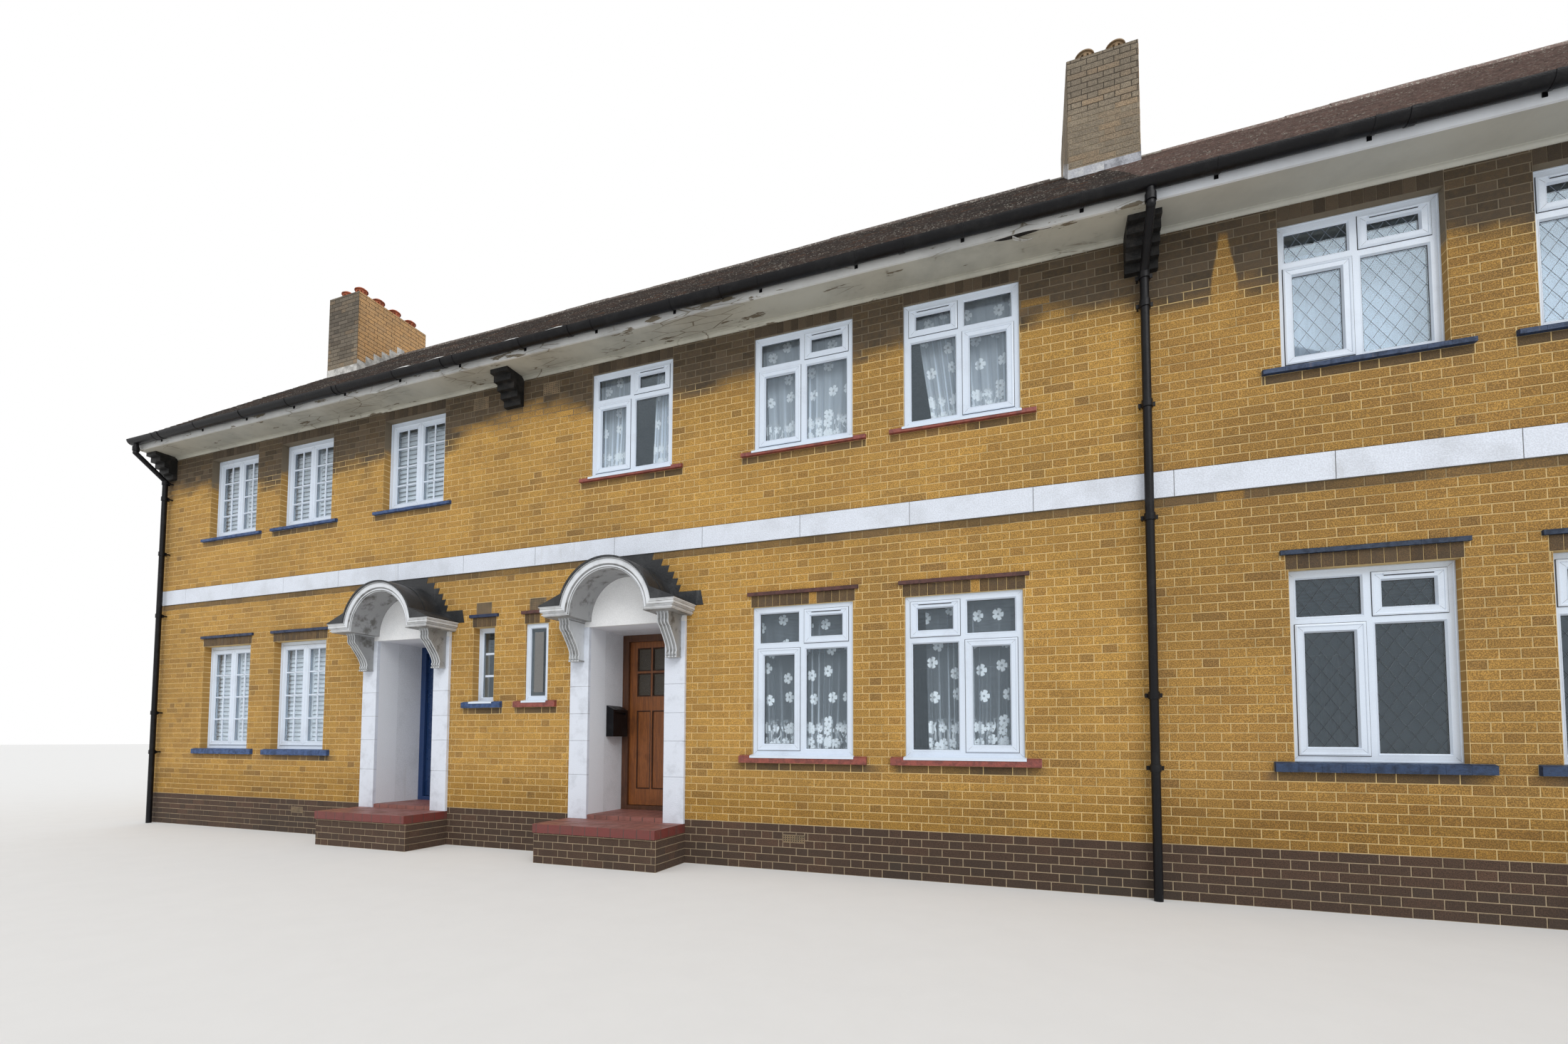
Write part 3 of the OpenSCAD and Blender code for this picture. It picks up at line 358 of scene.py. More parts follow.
def ramp(value, low, high, a=0.0, b=1.0):
    """A smooth step: a below low, b above high."""
    inputs = {"Value": value, "From Min": low, "From Max": high, "To Min": a, "To Max": b}
    return add(value.id_data, "MapRange", inputs, interpolation_type="SMOOTHSTEP").outputs["Result"]


def blend(factor, a, b, how="MIX"):
    """Colour a, with colour b over it where the factor is 1."""
    inputs = {0: factor, 6: a, 7: b}
    return add(tree_of(factor, a, b), "Mix", inputs, data_type="RGBA", blend_type=how).outputs[2]


def shaded(colour, shade):
    """A colour times a number that changes over the surface."""
    grey = add(shade.id_data, "CombineXYZ", {0: shade, 1: shade, 2: shade}).outputs[0]
    return blend(1.0, colour, grey, "MULTIPLY")


def dim(colour, share):
    """A plain colour made darker or lighter."""
    return tuple(c * share for c in colour)


def parts_of(vector):
    """The outputs X, Y and Z of a vector."""
    return add(vector.id_data, "SeparateXYZ", {"Vector": vector}).outputs


def near_lines(value, centres, half):
    """1 where the value is within half of any centre, fading to 0 at half as much again."""
    found = 0.0
    for centre in centres:
        found = larger(ramp(positive(minus(value, centre)), half, half * 1.5, 1.0, 0.0), found)
    return found


def from_porch(x):
    """Distance in x from the middle of the nearest porch."""
    nearest = 100.0
    for middle in PORCHES:
        nearest = smaller(positive(minus(x, middle)), nearest)
    return nearest


def group(name, inputs, outputs):
    """An empty node group and its two ends. The socket called Vector is a vector, the others are numbers."""
    tree = bpy.data.node_groups.new(name, "ShaderNodeTree")
    for way, names in (("INPUT", inputs), ("OUTPUT", outputs)):
        for label in names:
            kind = "NodeSocketVector" if label == "Vector" else "NodeSocketFloat"
            tree.interface.new_socket(name=label, in_out=way, socket_type=kind)
    return tree, tree.nodes.new("NodeGroupInput").outputs, tree.nodes.new("NodeGroupOutput").inputs


def noise_group(name, squash, detail, rough):
    """Noise, drawn out along z where squash is under 1, as a smooth step between Low and High."""
    tree, given, out = group(name, ["Vector", "Scale", "Low", "High"], ["Mask"])
    vector = given["Vector"]
    if squash != 1:
        vector = add(tree, "Mapping", {"Vector": vector, "Scale": (1.0, 1.0, squash)}).outputs["Vector"]
    inputs = {"Vector": vector, "Scale": given["Scale"], "Detail": detail, "Roughness": rough}
    noise = add(tree, "TexNoise", inputs).outputs["Fac"]
    feed(out[0], ramp(noise, given["Low"], given["High"]))
    return tree


mottle = noise_group("mottle", 1, 6.0, 0.62)
streak = noise_group("streak", 0.08, 5.0, 0.6)

speckle, given, out = group("speckle", ["Vector", "Scale", "Size"], ["Mask"])
dots = add(speckle, "TexVoronoi", {"Vector": given["Vector"], "Scale": given["Scale"]}).outputs["Distance"]
feed(out[0], ramp(minus(given["Size"], dots), 0.0, 0.12))

whose, given, out = group("whose_house", ["Vector"], ["Left", "Right"])
feed(out["Left"], below(parts_of(given["Vector"])["X"], PARTY[1]))
feed(out["Right"], above(parts_of(given["Vector"])["X"], PARTY[2]))
print("node groups", [g.name for g in bpy.data.node_groups])


# %% [markdown]
# ## A first finish: a surface that isn't one flat colour
# Most finishes here are the same idea: a base colour, a second one in blotches, perhaps dirt that runs down,
# a fine grain that also lifts the surface, and a gloss that follows the dirt. The helper builds such a tree,
# and the finishes differ by their colours and scales. Numbers that are the same all over stay on the shader.

# %% Finish helpers
def use(shared, vector, **inputs):
    """The outputs of one of the node groups, with its own values."""
    node = add(vector.id_data, "Group", node_tree=shared)
    for key, value in {"Vector": vector, **inputs}.items():
        feed(node.inputs[key], value)
    return node.outputs


def mottled(vector, scale, low, high):
    """Blotches from 0 to 1."""
    return use(mottle, vector, Scale=scale, Low=low, High=high)[0]


def by_house(where, colour, left, right):
    """A colour, with other ones over the left and the right house."""
    mine = use(whose, where)
    return blend(mine["Right"], blend(mine["Left"], colour, left), right)


def start_material(name):
    """A new material: its tree, its shader and its Object coordinates."""
    material = bpy.data.materials.new(name)
    material.use_nodes = True
    tree = material.node_tree
    return material, tree, tree.nodes["Principled BSDF"], add(tree, "TexCoord").outputs["Object"]


def surface(shader, colour, rough, height=None, lift=0.0, **others):
    """Puts a colour, a gloss and a height on a shader. The height lifts the surface by so many metres."""
    values = {"Base Color": colour, "Roughness": rough, **others}
    if height is not None:
        bump = add(shader.id_data, "Bump", {"Height": height, "Distance": lift, "Strength": 1.0})
        values["Normal"] = bump.outputs["Normal"]
    for key, value in values.items():
        feed(shader.inputs[key], value)


def finish(name, base, second, scale=9.0, spread=(0.4, 0.7), dirt=None, rough=(0.5, 0.7), grain=90.0,
           lift=0.001, metallic=0.0, specular=0.5, houses=None, grains=(0.82, 1.08)):
    """Base colour with blotches of a second one, grain in the tone and the height, gloss by the blotches.
    dirt is (colour, scale, low, high) of streaks, houses the base of the left and the right house."""
    material, tree, shader, where = start_material(name)
    if houses:
        base = by_house(where, base, *houses)
        second = by_house(where, second, *(dim(c, 0.55) for c in houses))
    patch = mottled(where, scale, *spread)
    fine = mottled(where, grain, 0.3, 0.7)
    colour = shaded(blend(patch, base, second), ramp(fine, 0.0, 1.0, *grains))
    if dirt:
        shade, size, low, high = dirt
        colour = blend(use(streak, where, Scale=size, Low=low, High=high)[0], colour, shade)
    surface(shader, colour, ramp(patch, 0.0, 1.0, *rough), fine, lift, Metallic=metallic)
    shader.inputs["Specular IOR Level"].default_value = specular
    return material


MORTAR_TONE = (0.72, 0.53, 0.245)
OCHRE = (0.60, 0.345, 0.080)
OCHRE_DARK = (0.43, 0.235, 0.058)
SOOT = (0.070, 0.052, 0.034)
BROWN = (0.115, 0.062, 0.037)
# The blue tint of WHITE is painted skylight: white paint as it looks in shade under a blue sky.
WHITE = (0.72, 0.77, 0.86)
RED_TILE = (0.30, 0.075, 0.055)
BLUE = (0.035, 0.085, 0.23)
SLATE_BLUE = (0.014, 0.040, 0.105)


def step_finish():
    """Red clay tiles: joints every 153 mm from the porch's middle, a front row 115 mm deep, then squares."""
    material, tree, shader, where = start_material("worn_red_step_tile")
    at = parts_of(where)
    across = fraction(over(plus(from_porch(at["X"]), STEP_TILE / 2), STEP_TILE))
    behind = fraction(over(minus(at["Y"], FRONT - 0.605 + 0.115), STEP_TILE))
    joint = larger(near_lines(across, [0.0, 1.0], 0.022), near_lines(behind, [0.0, 1.0], 0.022))
    worn = mottled(where, 5.0, 0.40, 0.70)
    fine = mottled(where, 80.0, 0.3, 0.7)
    colour = blend(above(at["Z"], 0.409), (0.17, 0.035, 0.030), (0.27, 0.105, 0.085))
    colour = blend(times(worn, 0.6), colour, (0.12, 0.055, 0.045))
    colour = blend(joint, colour, (0.075, 0.050, 0.042))
    surface(shader, colour, ramp(worn, 0.0, 1.0, 0.45, 0.7), minus(fine, times(joint, 2.0)), 0.0012)
    return material


def grooved(name, base, part):
    """White paint, darkened along lines: painted shade in the grooves of the arch, the cornice and the
    console, and the joints between the blocks of the pilaster. arch: rings round its middle, r = root of u
    and rise squared.
    cornice: level lines. console: three flutes across its width. pilaster: joints between its blocks."""
    material, tree, shader, where = start_material(name)
    at = parts_of(where)
    grime, least, most = 0.5, 0.62, 0.92
    if part == "arch":
        rise = larger(minus(at["Z"], 2.645), 0.0)
        polar = add(tree, "CombineXYZ", {0: from_porch(at["X"]), 1: rise}).outputs[0]
        r = add(tree, "VectorMath", {0: polar}, operation="LENGTH").outputs["Value"]
        groove = near_lines(r, [0.463, 0.476, 0.501, 0.508, 0.566], 0.0030)
        grime = 0.14
    elif part == "cornice":
        groove = near_lines(at["Z"], [2.634, 2.660, 2.684, 2.712], 0.0022)
    elif part == "console":
        flute = fraction(over(minus(from_porch(at["X"]), 0.555), 0.0405))
        groove = near_lines(flute, [0.37, 0.55, 0.73, 0.95], 0.055)
    else:
        groove = near_lines(at["Z"], [0.901, 1.283, 1.587, 1.896], 0.0024)
        grime, least, most = 0.40, 0.34, 0.62
    patch = mottled(where, 7.0, 0.45, 0.72)
    fine = mottled(where, 90.0, 0.3, 0.7)
    runs = use(streak, where, Scale=10.0, Low=0.60, High=0.80)[0]
    colour = blend(times(runs, grime), blend(patch, base, dim(base, 0.84)), (0.36, 0.355, 0.33))
    # Painted shade: on the arch, cornice and console these lines darken the grooves where shade falls; on the
    # pilaster they are its joints.
    colour = blend(times(groove, ramp(patch, 0.0, 1.0, least, most)), colour, (0.10, 0.096, 0.085))
    surface(shader, colour, ramp(patch, 0.0, 1.0, 0.5, 0.7), minus(fine, groove), 0.0012)
    return material


step_red = step_finish()
arch_paint = grooved("weathered_arch_paint_with_painted_shade", (0.74, 0.77, 0.81), "arch")
cornice_paint = grooved("weathered_cornice_paint_with_painted_shade", (0.66, 0.68, 0.70), "cornice")
console_paint = grooved("weathered_console_paint_with_painted_shade", (0.66, 0.69, 0.72), "console")
pilaster_paint = grooved("pilaster_paint", WHITE, "pilaster")
white_paint = finish("white_masonry_paint", WHITE, (0.64, 0.68, 0.75), 2.5, (0.45, 0.7),
                     ((0.42, 0.42, 0.40), 5.0, 0.62, 0.85), (0.55, 0.7), grains=(0.88, 1.05))
# The tympanum and the lobby walls get brighter copies of the white paint: painted light that lifts the shade
# of the porch they lie in.
lintel_paint = finish("tympanum_paint", (0.95, 0.965, 0.98), (0.86, 0.88, 0.90), 2.5, (0.45, 0.7),
                      ((0.60, 0.60, 0.58), 5.0, 0.68, 0.9), (0.55, 0.7), lift=0.0009, grains=(0.90, 1.0))
lobby_paint = finish("lobby_paint", (0.78, 0.81, 0.86), (0.69, 0.72, 0.76), 2.5, (0.45, 0.7),
                     ((0.52, 0.52, 0.50), 5.0, 0.66, 0.9), (0.55, 0.7), lift=0.0009, grains=(0.88, 1.0))
lead = finish("dark_lead", (0.029, 0.031, 0.034), (0.058, 0.061, 0.065), 5.0, (0.45, 0.7),
              ((0.16, 0.165, 0.165), 12.0, 0.62, 0.8), (0.42, 0.6), 60.0, 0.0015, 0.35)
pale_lead = finish("pale_lead", (0.40, 0.415, 0.46), (0.58, 0.59, 0.60), 8.0, (0.4, 0.65),
                   ((0.22, 0.22, 0.22), 12.0, 0.62, 0.85), (0.5, 0.7), 60.0, 0.0015,
                   houses=((0.62, 0.61, 0.58), (0.40, 0.415, 0.46)))
cast_black = finish("black_cast_iron_paint", (0.0045, 0.0045, 0.006), (0.013, 0.013, 0.014), 6.0, (0.5, 0.7),
                    ((0.035, 0.037, 0.042), 15.0, 0.70, 0.85), (0.30, 0.5), 80.0, 0.0008, specular=0.22)
corbel_black = finish("black_painted_brick", (0.012, 0.012, 0.012), (0.040, 0.037, 0.034), 12.0, (0.45, 0.7),
                      rough=(0.5, 0.8), grain=70.0, lift=0.0025, specular=0.22)
red_tile = finish("painted_clay_tile", RED_TILE, (0.19, 0.055, 0.045), 18.0, (0.4, 0.65),
                  ((0.12, 0.08, 0.07), 20.0, 0.62, 0.85), (0.45, 0.65), lift=0.0012,
                  houses=(BLUE, SLATE_BLUE))
creasing_tile = finish("creasing_clay_tile", (0.10, 0.034, 0.028), (0.06, 0.026, 0.022), 18.0, (0.4, 0.65),
                       ((0.05, 0.04, 0.035), 20.0, 0.62, 0.85), lift=0.0012,
                       houses=((0.020, 0.035, 0.09), (0.012, 0.030, 0.070)))
plastic_white = finish("white_window_plastic", (0.70, 0.785, 0.90), (0.62, 0.69, 0.79), 3.0, (0.5, 0.75),
                       ((0.50, 0.50, 0.48), 9.0, 0.70, 0.92), (0.22, 0.32), 160.0, 0.0001,
                       grains=(0.94, 0.99))
clay_pot = finish("clay_pot", (0.33, 0.22, 0.12), (0.20, 0.15, 0.09), 9.0, (0.4, 0.65),
                  ((0.05, 0.045, 0.04), 18.0, 0.55, 0.85), (0.7, 0.85), lift=0.0015,
                  houses=((0.50, 0.13, 0.055), (0.33, 0.22, 0.12)))
air_clay = finish("air_brick_clay", (0.30, 0.215, 0.125), (0.20, 0.155, 0.10), 9.0, (0.4, 0.65),
                  ((0.08, 0.07, 0.05), 18.0, 0.6, 0.85), (0.7, 0.85), lift=0.0015)
# Near black that stands in for the shade inside a hollow: painted shade for the air bricks' holes and the
# soffit's tear.
dark_hole = finish("painted_hollow_shade", (0.015, 0.013, 0.012), (0.03, 0.025, 0.02), rough=(0.9, 0.95),
                   lift=0.0003)
joint_grey = finish("grey_block_joint", (0.14, 0.135, 0.125), (0.08, 0.078, 0.07), 6.0, rough=(0.8, 0.9),
                    grain=60.0)
boards = finish("floor_boards", (0.30, 0.20, 0.12), (0.22, 0.14, 0.08), 6.0, rough=(0.6, 0.8), grain=60.0)
plaster = finish("plaster", (0.55, 0.53, 0.49), (0.48, 0.46, 0.42), 2.0, rough=(0.8, 0.9), grain=60.0)
cement = finish("cement", (0.33, 0.31, 0.27), (0.20, 0.18, 0.15), 9.0, (0.4, 0.65),
                ((0.10, 0.09, 0.08), 18.0, 0.5, 0.8), (0.8, 0.95), 70.0, 0.003)
blue_door = finish("blue_door_paint", (0.012, 0.035, 0.11), (0.02, 0.05, 0.14), 4.0, rough=(0.25, 0.35),
                   grain=140.0, lift=0.0003)
# Black rubber for the gaskets round the glass. The same black is painted shade in the ventilator slots and,
# with the seal, in the gap round each sash.
black_rubber_and_painted_shade = finish("black_gasket_and_painted_shade", (0.02, 0.02, 0.022), (0.04, 0.04, 0.04), lift=0.0003)
seam_grey = finish("mitre_seam", (0.26, 0.29, 0.34), (0.20, 0.22, 0.26), 20.0, lift=0.0002)
lined = finish("lined_curtain", (0.50, 0.46, 0.38), (0.42, 0.38, 0.31), 7.0, rough=(0.8, 0.9), grain=260.0,
               lift=0.0005)
shutter_paint = finish("white_shutter_paint", (0.80, 0.83, 0.87), (0.72, 0.75, 0.78), 4.0, (0.45, 0.7),
                       rough=(0.35, 0.5), grain=140.0, lift=0.0003)
print(len(bpy.data.materials), "finishes so far")

# %% [markdown]
# ## Brick faces
# The bricks are rustic ones, golden ochre with pits and grains, some of them browner, and black with soot
# under the eaves. Soot could be painted in the shader alone, but on the real wall one brick is sooty and the
# next is not. So each brick carries three numbers in the attribute "brick": its tone, how brown it is and how
# sooty it is, and the shader only mixes the colours by them.
# On the stacks' sides that face +x the brown number also carries painted sunlight.

# %% Brick finishes
def clean_streak(at):
    """The wedge by the party line that a leak from the gutter has washed clean: |x - 4.01| under a half width
    that narrows upwards."""
    half = ramp(at["Z"], 5.06, 5.56, 0.095, 0.030)
    wedge = ramp(minus(half, positive(minus(at["X"], 4.01))), -0.012, 0.012)
    return times(times(wedge, ramp(at["Z"], 5.50, 5.57, 0.92, 0.0)), below(at["Y"], 0.0))


def brick_finish(name, light, dark, brown, soot=SOOT, house_wall=False):
    """Colours mixed by a brick's own tone, brownness and soot, with pits and grains over them. house_wall:
    the damp courses over the plinth and the duller right house are marked."""
    material, tree, shader, where = start_material(name)
    own = parts_of(add(tree, "Attribute", attribute_name="brick").outputs["Vector"])
    colour = blend(own["Y"], blend(own["X"], light, dark), brown)
    colour = blend(times(mottled(where, 14.0, 0.35, 0.7), 0.35), colour, dark)
    grains = mottled(where, 115.0, 0.38, 0.62)
    slow = mottled(where, 0.8, 0.35, 0.65)
    colour = shaded(colour, times(ramp(grains, 0.0, 1.0, 0.60, 1.22), ramp(slow, 0.0, 1.0, 1.05, 0.86)))
    sooty = times(own["Z"], ramp(mottled(where, 22.0, 0.25, 0.75), 0.0, 1.0, 1.0, 0.93))
    if house_wall:
        at = parts_of(where)
        damp = ramp(plus(at["Z"], times(slow, 0.22)), 0.72, 1.12, 1.0, 0.0)
        colour = blend(damp, colour, (0.76, 0.73, 0.58), "MULTIPLY")
        colour = blend(use(whose, where)["Right"], colour, (0.82, 0.81, 0.83), "MULTIPLY")
        sooty = times(sooty, minus(1.0, clean_streak(at)))
    colour = blend(sooty, colour, blend(own["X"], dim(soot, 0.62), dim(soot, 1.60)))
    surface(shader, colour, 0.88, grains, 0.0022)
    return material


ochre_brick = brick_finish("ochre_rustic_brick", OCHRE, OCHRE_DARK, (0.135, 0.085, 0.045), house_wall=True)
brown_brick = brick_finish("brown_brick", BROWN, (0.070, 0.040, 0.026), (0.19, 0.095, 0.055),
                           (0.04, 0.032, 0.024))
# For the stacks the third colour, orange, is partly browner bricks and partly painted sunlight: the sides
# that face +x take it in full.
stack_brick = brick_finish("chimney_brick", (0.40, 0.330, 0.235), (0.27, 0.222, 0.160), (0.74, 0.425, 0.175),
                           (0.105, 0.088, 0.068))

# %% [markdown]
# ## Mortar, and the walls behind the bricks
# The frame's wall nodes become the mortar that the bricks stand out of. The same nodes also show in the
# window reveals, where the shader draws the courses, and inside the rooms, where they are plaster. Masks by
# position tell which is which: it could be done with separate objects, but the walls are whole in the frame.

# %% Mortar finish
def mortar_finish(name, tone, brick, inside=(0.50, 0.48, 0.44), sooty=True, dark_above=None):
    """Mortar on the faces, courses of brick in the reveals and plaster on all that lies deeper in.
    dark_above: the height over which the joints have weathered dark."""
    material, tree, shader, where = start_material(name)
    at = parts_of(where)
    facing = parts_of(add(tree, "TexCoord").outputs["Normal"])
    grains = mottled(where, 90.0, 0.35, 0.65)
    patch = mottled(where, 5.0, 0.45, 0.7)
    colour = blend(patch, tone, dim(tone, 0.72))
    course = fraction(over(at["Z"], COURSE))
    body = ramp(positive(minus(course, 0.5)), 0.43, 0.46, 1.0, 0.0)
    ends = above(positive(at["X"]), ROW_END - 0.02)
    reveal = times(above(positive(facing["X"]), 0.5), minus(1.0, ends))
    colour = blend(times(body, reveal), colour, brick)
    if dark_above is not None:
        level = plus(at["Z"], times(use(whose, where)["Left"], 0.62))
        colour = blend(ramp(level, dark_above - 0.05, dark_above + 0.05), colour, (0.050, 0.040, 0.030))
    if sooty:
        colour = blend(use(whose, where)["Right"], colour, (0.90, 0.90, 0.91), "MULTIPLY")
        high = ramp(plus(at["Z"], times(patch, 0.10)), 5.04, 5.24, 0.0, 0.96)
        washed = times(below(at["Z"], EAVES + 0.03), minus(1.0, clean_streak(at)))
        colour = blend(times(high, washed), colour, (0.170, 0.140, 0.100))
        under = minus(BAND_FOOT, plus(at["Z"], times(patch, 0.03)))
        strip = times(ramp(under, 0.070, 0.085, 0.65, 0.0), ramp(under, -0.04, -0.03))
        colour = blend(strip, colour, (0.115, 0.090, 0.062))
    if inside is not None:
        outside = larger(below(at["Y"], FRONT + 0.105), above(at["Y"], REAR - 0.065))
        colour = blend(larger(outside, ends), inside, colour)
    if sooty:
        gap = times(below(from_porch(at["X"]), 0.4985), below(at["Z"], 2.60))
        colour = blend(times(gap, below(at["Y"], 0.0)), colour, (0.80, 0.83, 0.88))
    surface(shader, colour, 0.92, grains, 0.0015)
    return material


wall_mortar = mortar_finish("ochre_mortar", MORTAR_TONE, (0.42, 0.235, 0.06))
plinth_mortar = mortar_finish("plinth_mortar", (0.42, 0.33, 0.22), BROWN, sooty=False)
stack_mortar = mortar_finish("stack_mortar", (0.30, 0.245, 0.170), (0.20, 0.12, 0.06), None, sooty=False,
                             dark_above=9.13)

# %% [markdown]
# ## Peeling paint on the soffit
# The soffit and fascia boards carry old paint that has cracked along the grain and come off in flakes. The
# flakes are a noise stretched along the boards and cut at a level, and the same mask lifts the paint by about
# two millimetres, so that its edges catch the light.

# %% Soffit finish
def peeling(name, paint, wood, amount, fresh):
    """Paint over wood: a stretched noise above the amount shows the wood, and long cracks part the paint.
    Over the right house the paint is newer: it has the fresh colour and holds."""
    material, tree, shader, where = start_material(name)
    along = add(tree, "Mapping", {"Vector": where, "Scale": (0.35, 1.6, 1.6)}).outputs["Vector"]
    newer = use(whose, where)["Right"]
    old = minus(1.0, newer)
    off = times(mottled(along, 5.0, amount, amount + 0.02), old)
    cracks = add(tree, "TexVoronoi", {"Vector": along, "Scale": 7.0}, feature="DISTANCE_TO_EDGE")
    line = ramp(cracks.outputs["Distance"], 0.0, 0.035, 1.0, 0.0)
    line = times(line, times(mottled(where, 1.1, 0.5, 0.6), old))
    bare = larger(off, line)
    grime = mottled(where, 2.2, 0.35, 0.75)
    colour = blend(newer, blend(grime, paint, dim(paint, 0.74)), blend(grime, fresh, dim(fresh, 0.86)))
    surface(shader, blend(bare, colour, wood), ramp(off, 0.0, 1.0, 0.5, 0.85), minus(1.0, bare), 0.0018)
    return material


soffit_paint = peeling("peeling_soffit_paint", (0.50, 0.49, 0.42), (0.16, 0.13, 0.09), 0.64,
                       (0.50, 0.50, 0.45))
fascia_paint = peeling("flaking_fascia_paint", (0.72, 0.73, 0.72), (0.22, 0.19, 0.14), 0.60,
                       (0.84, 0.88, 0.93))

# %% [markdown]
# ## Doors and glass
# The middle door is stained timber. Its grain is a wave stretched upright and bent by noise, which is how
# plain-sawn boards look from the front. The door frames share one node in the frame, so their finish mixes
# three colours by house. Glass would block a lamp's direct light, as a render can't find its way through two
# bent surfaces, so for shadow rays the glass is simply clear, and curtains behind it are lit.

# %% Timber and glass finishes
def timber(name, light, dark, houses=None):
    """Upright grain: bands of a wave texture in a space stretched in z, mixed light to dark."""
    material, tree, shader, where = start_material(name)
    tall = add(tree, "Mapping", {"Vector": where, "Scale": (1.0, 1.0, 0.07)}).outputs["Vector"]
    waves = {"Vector": tall, "Scale": 4.0, "Distortion": 16.0, "Detail": 5.0, "Detail Scale": 3.0}
    bands = add(tree, "TexWave", waves).outputs["Fac"]
    fibres = mottled(tall, 160.0, 0.35, 0.65)
    worn = mottled(where, 4.0, 0.5, 0.75)
    colour = blend(times(fibres, 0.40), blend(times(bands, 0.55), light, dark), dim(dark, 0.5))
    colour = blend(times(worn, 0.6), colour, dim(dark, 0.6))
    if houses:
        colour = by_house(where, colour, *houses)
    surface(shader, colour, ramp(worn, 0.0, 1.0, 0.38, 0.6), fibres, 0.0006)
    return material


def dimpled_glass(name, scale, light, dark, rough, lift):
    """Obscured glass: dimples by the distance to the nearest of many random points, in tone and height."""
    material, tree, shader, where = start_material(name)
    cells = add(tree, "TexVoronoi", {"Vector": where, "Scale": scale}).outputs["Distance"]
    surface(shader, blend(cells, light, dark), rough, cells, lift)
    return material


door_timber = timber("brown_door_timber", (0.300, 0.098, 0.020), (0.135, 0.041, 0.010))
frame_timber = timber("door_frame_timber", (0.115, 0.042, 0.015), (0.050, 0.019, 0.009),
                      ((0.014, 0.042, 0.135), (0.70, 0.72, 0.74)))
dark_timber = timber("dark_bead_timber", (0.075, 0.028, 0.010), (0.035, 0.014, 0.007))
door_pane = dimpled_glass("obscured_door_glass", 130.0, (0.080, 0.066, 0.046), (0.034, 0.028, 0.020),
                          0.22, 0.002)
obscured = dimpled_glass("obscured_window_glass", 160.0, (0.20, 0.20, 0.195), (0.13, 0.13, 0.125),
                         0.25, 0.0015)

glass, tree, shader, where = start_material("window_glass")
film = ramp(mottled(where, 2.0, 0.3, 0.8), 0.0, 1.0, 0.01, 0.05)
surface(shader, (0.86, 0.92, 0.96), film, IOR=1.62)
shader.inputs["Transmission Weight"].default_value = 1.0
shader.inputs["Specular Tint"].default_value = (0.74, 0.88, 1.0, 1)
clear = add(tree, "BsdfTransparent", {"Color": (0.9, 0.94, 0.96)}).outputs[0]
shadow_ray = add(tree, "LightPath").outputs["Is Shadow Ray"]
either = add(tree, "MixShader", {0: shadow_ray, 1: shader.outputs[0], 2: clear}).outputs[0]
feed(tree.nodes["Material Output"].inputs["Surface"], either)

# %% [markdown]
# ## The frame's nodes get their finishes
# A node keeps its shape and place. Only the material in its slot changes.

# %% Finishes for the nodes
FINISHES = {
    wall_mortar: ["front_wall_main", "front_wall_side", "front_wall_over_doors", "front_wall_upper",
                  "rear_wall", "party_walls"],
    plinth_mortar: ["plinth", "porch_steps"],
    stack_mortar: ["chimney_stacks"],
    lobby_paint: ["lobby_walls"],
    lintel_paint: ["porch_lintels"],
    pilaster_paint: ["porch_pilasters"],
    arch_paint: ["porch_arches"],
    cornice_paint: ["porch_cornices"],
    console_paint: ["porch_consoles"],
    joint_grey: ["band_course"],
    corbel_black: ["brick_corbels"],
    red_tile: ["window_sills"],
    creasing_tile: ["tile_creasings"],
    step_red: ["step_tiles"],
    boards: ["ground_floor", "first_floor"],
    plaster: ["ceiling"],
    cement: ["roof_front", "roof_rear", "ridge_tiles"],
    soffit_paint: ["soffits"],
    fascia_paint: ["fascias"],
    cast_black: ["gutters", "downpipes", "letter_box"],
    clay_pot: ["chimney_pots"],
    dark_hole: ["air_bricks"],
    pale_lead: ["chimney_flashings"],
    lead: ["porch_hoods", "hood_flashings"],
    plastic_white: ["window_frames", "window_sashes", "door_right"],
    glass: ["window_glass"],
    frame_timber: ["door_frames"],
    blue_door: ["door_left"],
    door_timber: ["door_middle"],
    door_pane: ["door_glass_left", "door_glass_middle"],
}
for material, names in FINISHES.items():
    for name in names:
        nodes[name].data.materials.clear()
        nodes[name].data.materials.append(material)
print("nodes without a finish:", sorted(set(nodes) - {n for names in FINISHES.values() for n in names}))

# %% [markdown]
# ## Laying the bricks
# The walls are laid in Flemish bond: in every course a long face, the stretcher, and a short one, the header,
# take turns, and each course is shifted by half of the pair. Such a wall could be one plane with a brick
# texture, but real bricks throw small shadows and hold up close. So the courses become an array of
# rectangles, windows and doors are cut out of them, and each rectangle becomes a brick with soft edges.

# %% Courses of bricks
LEAST = 0.012


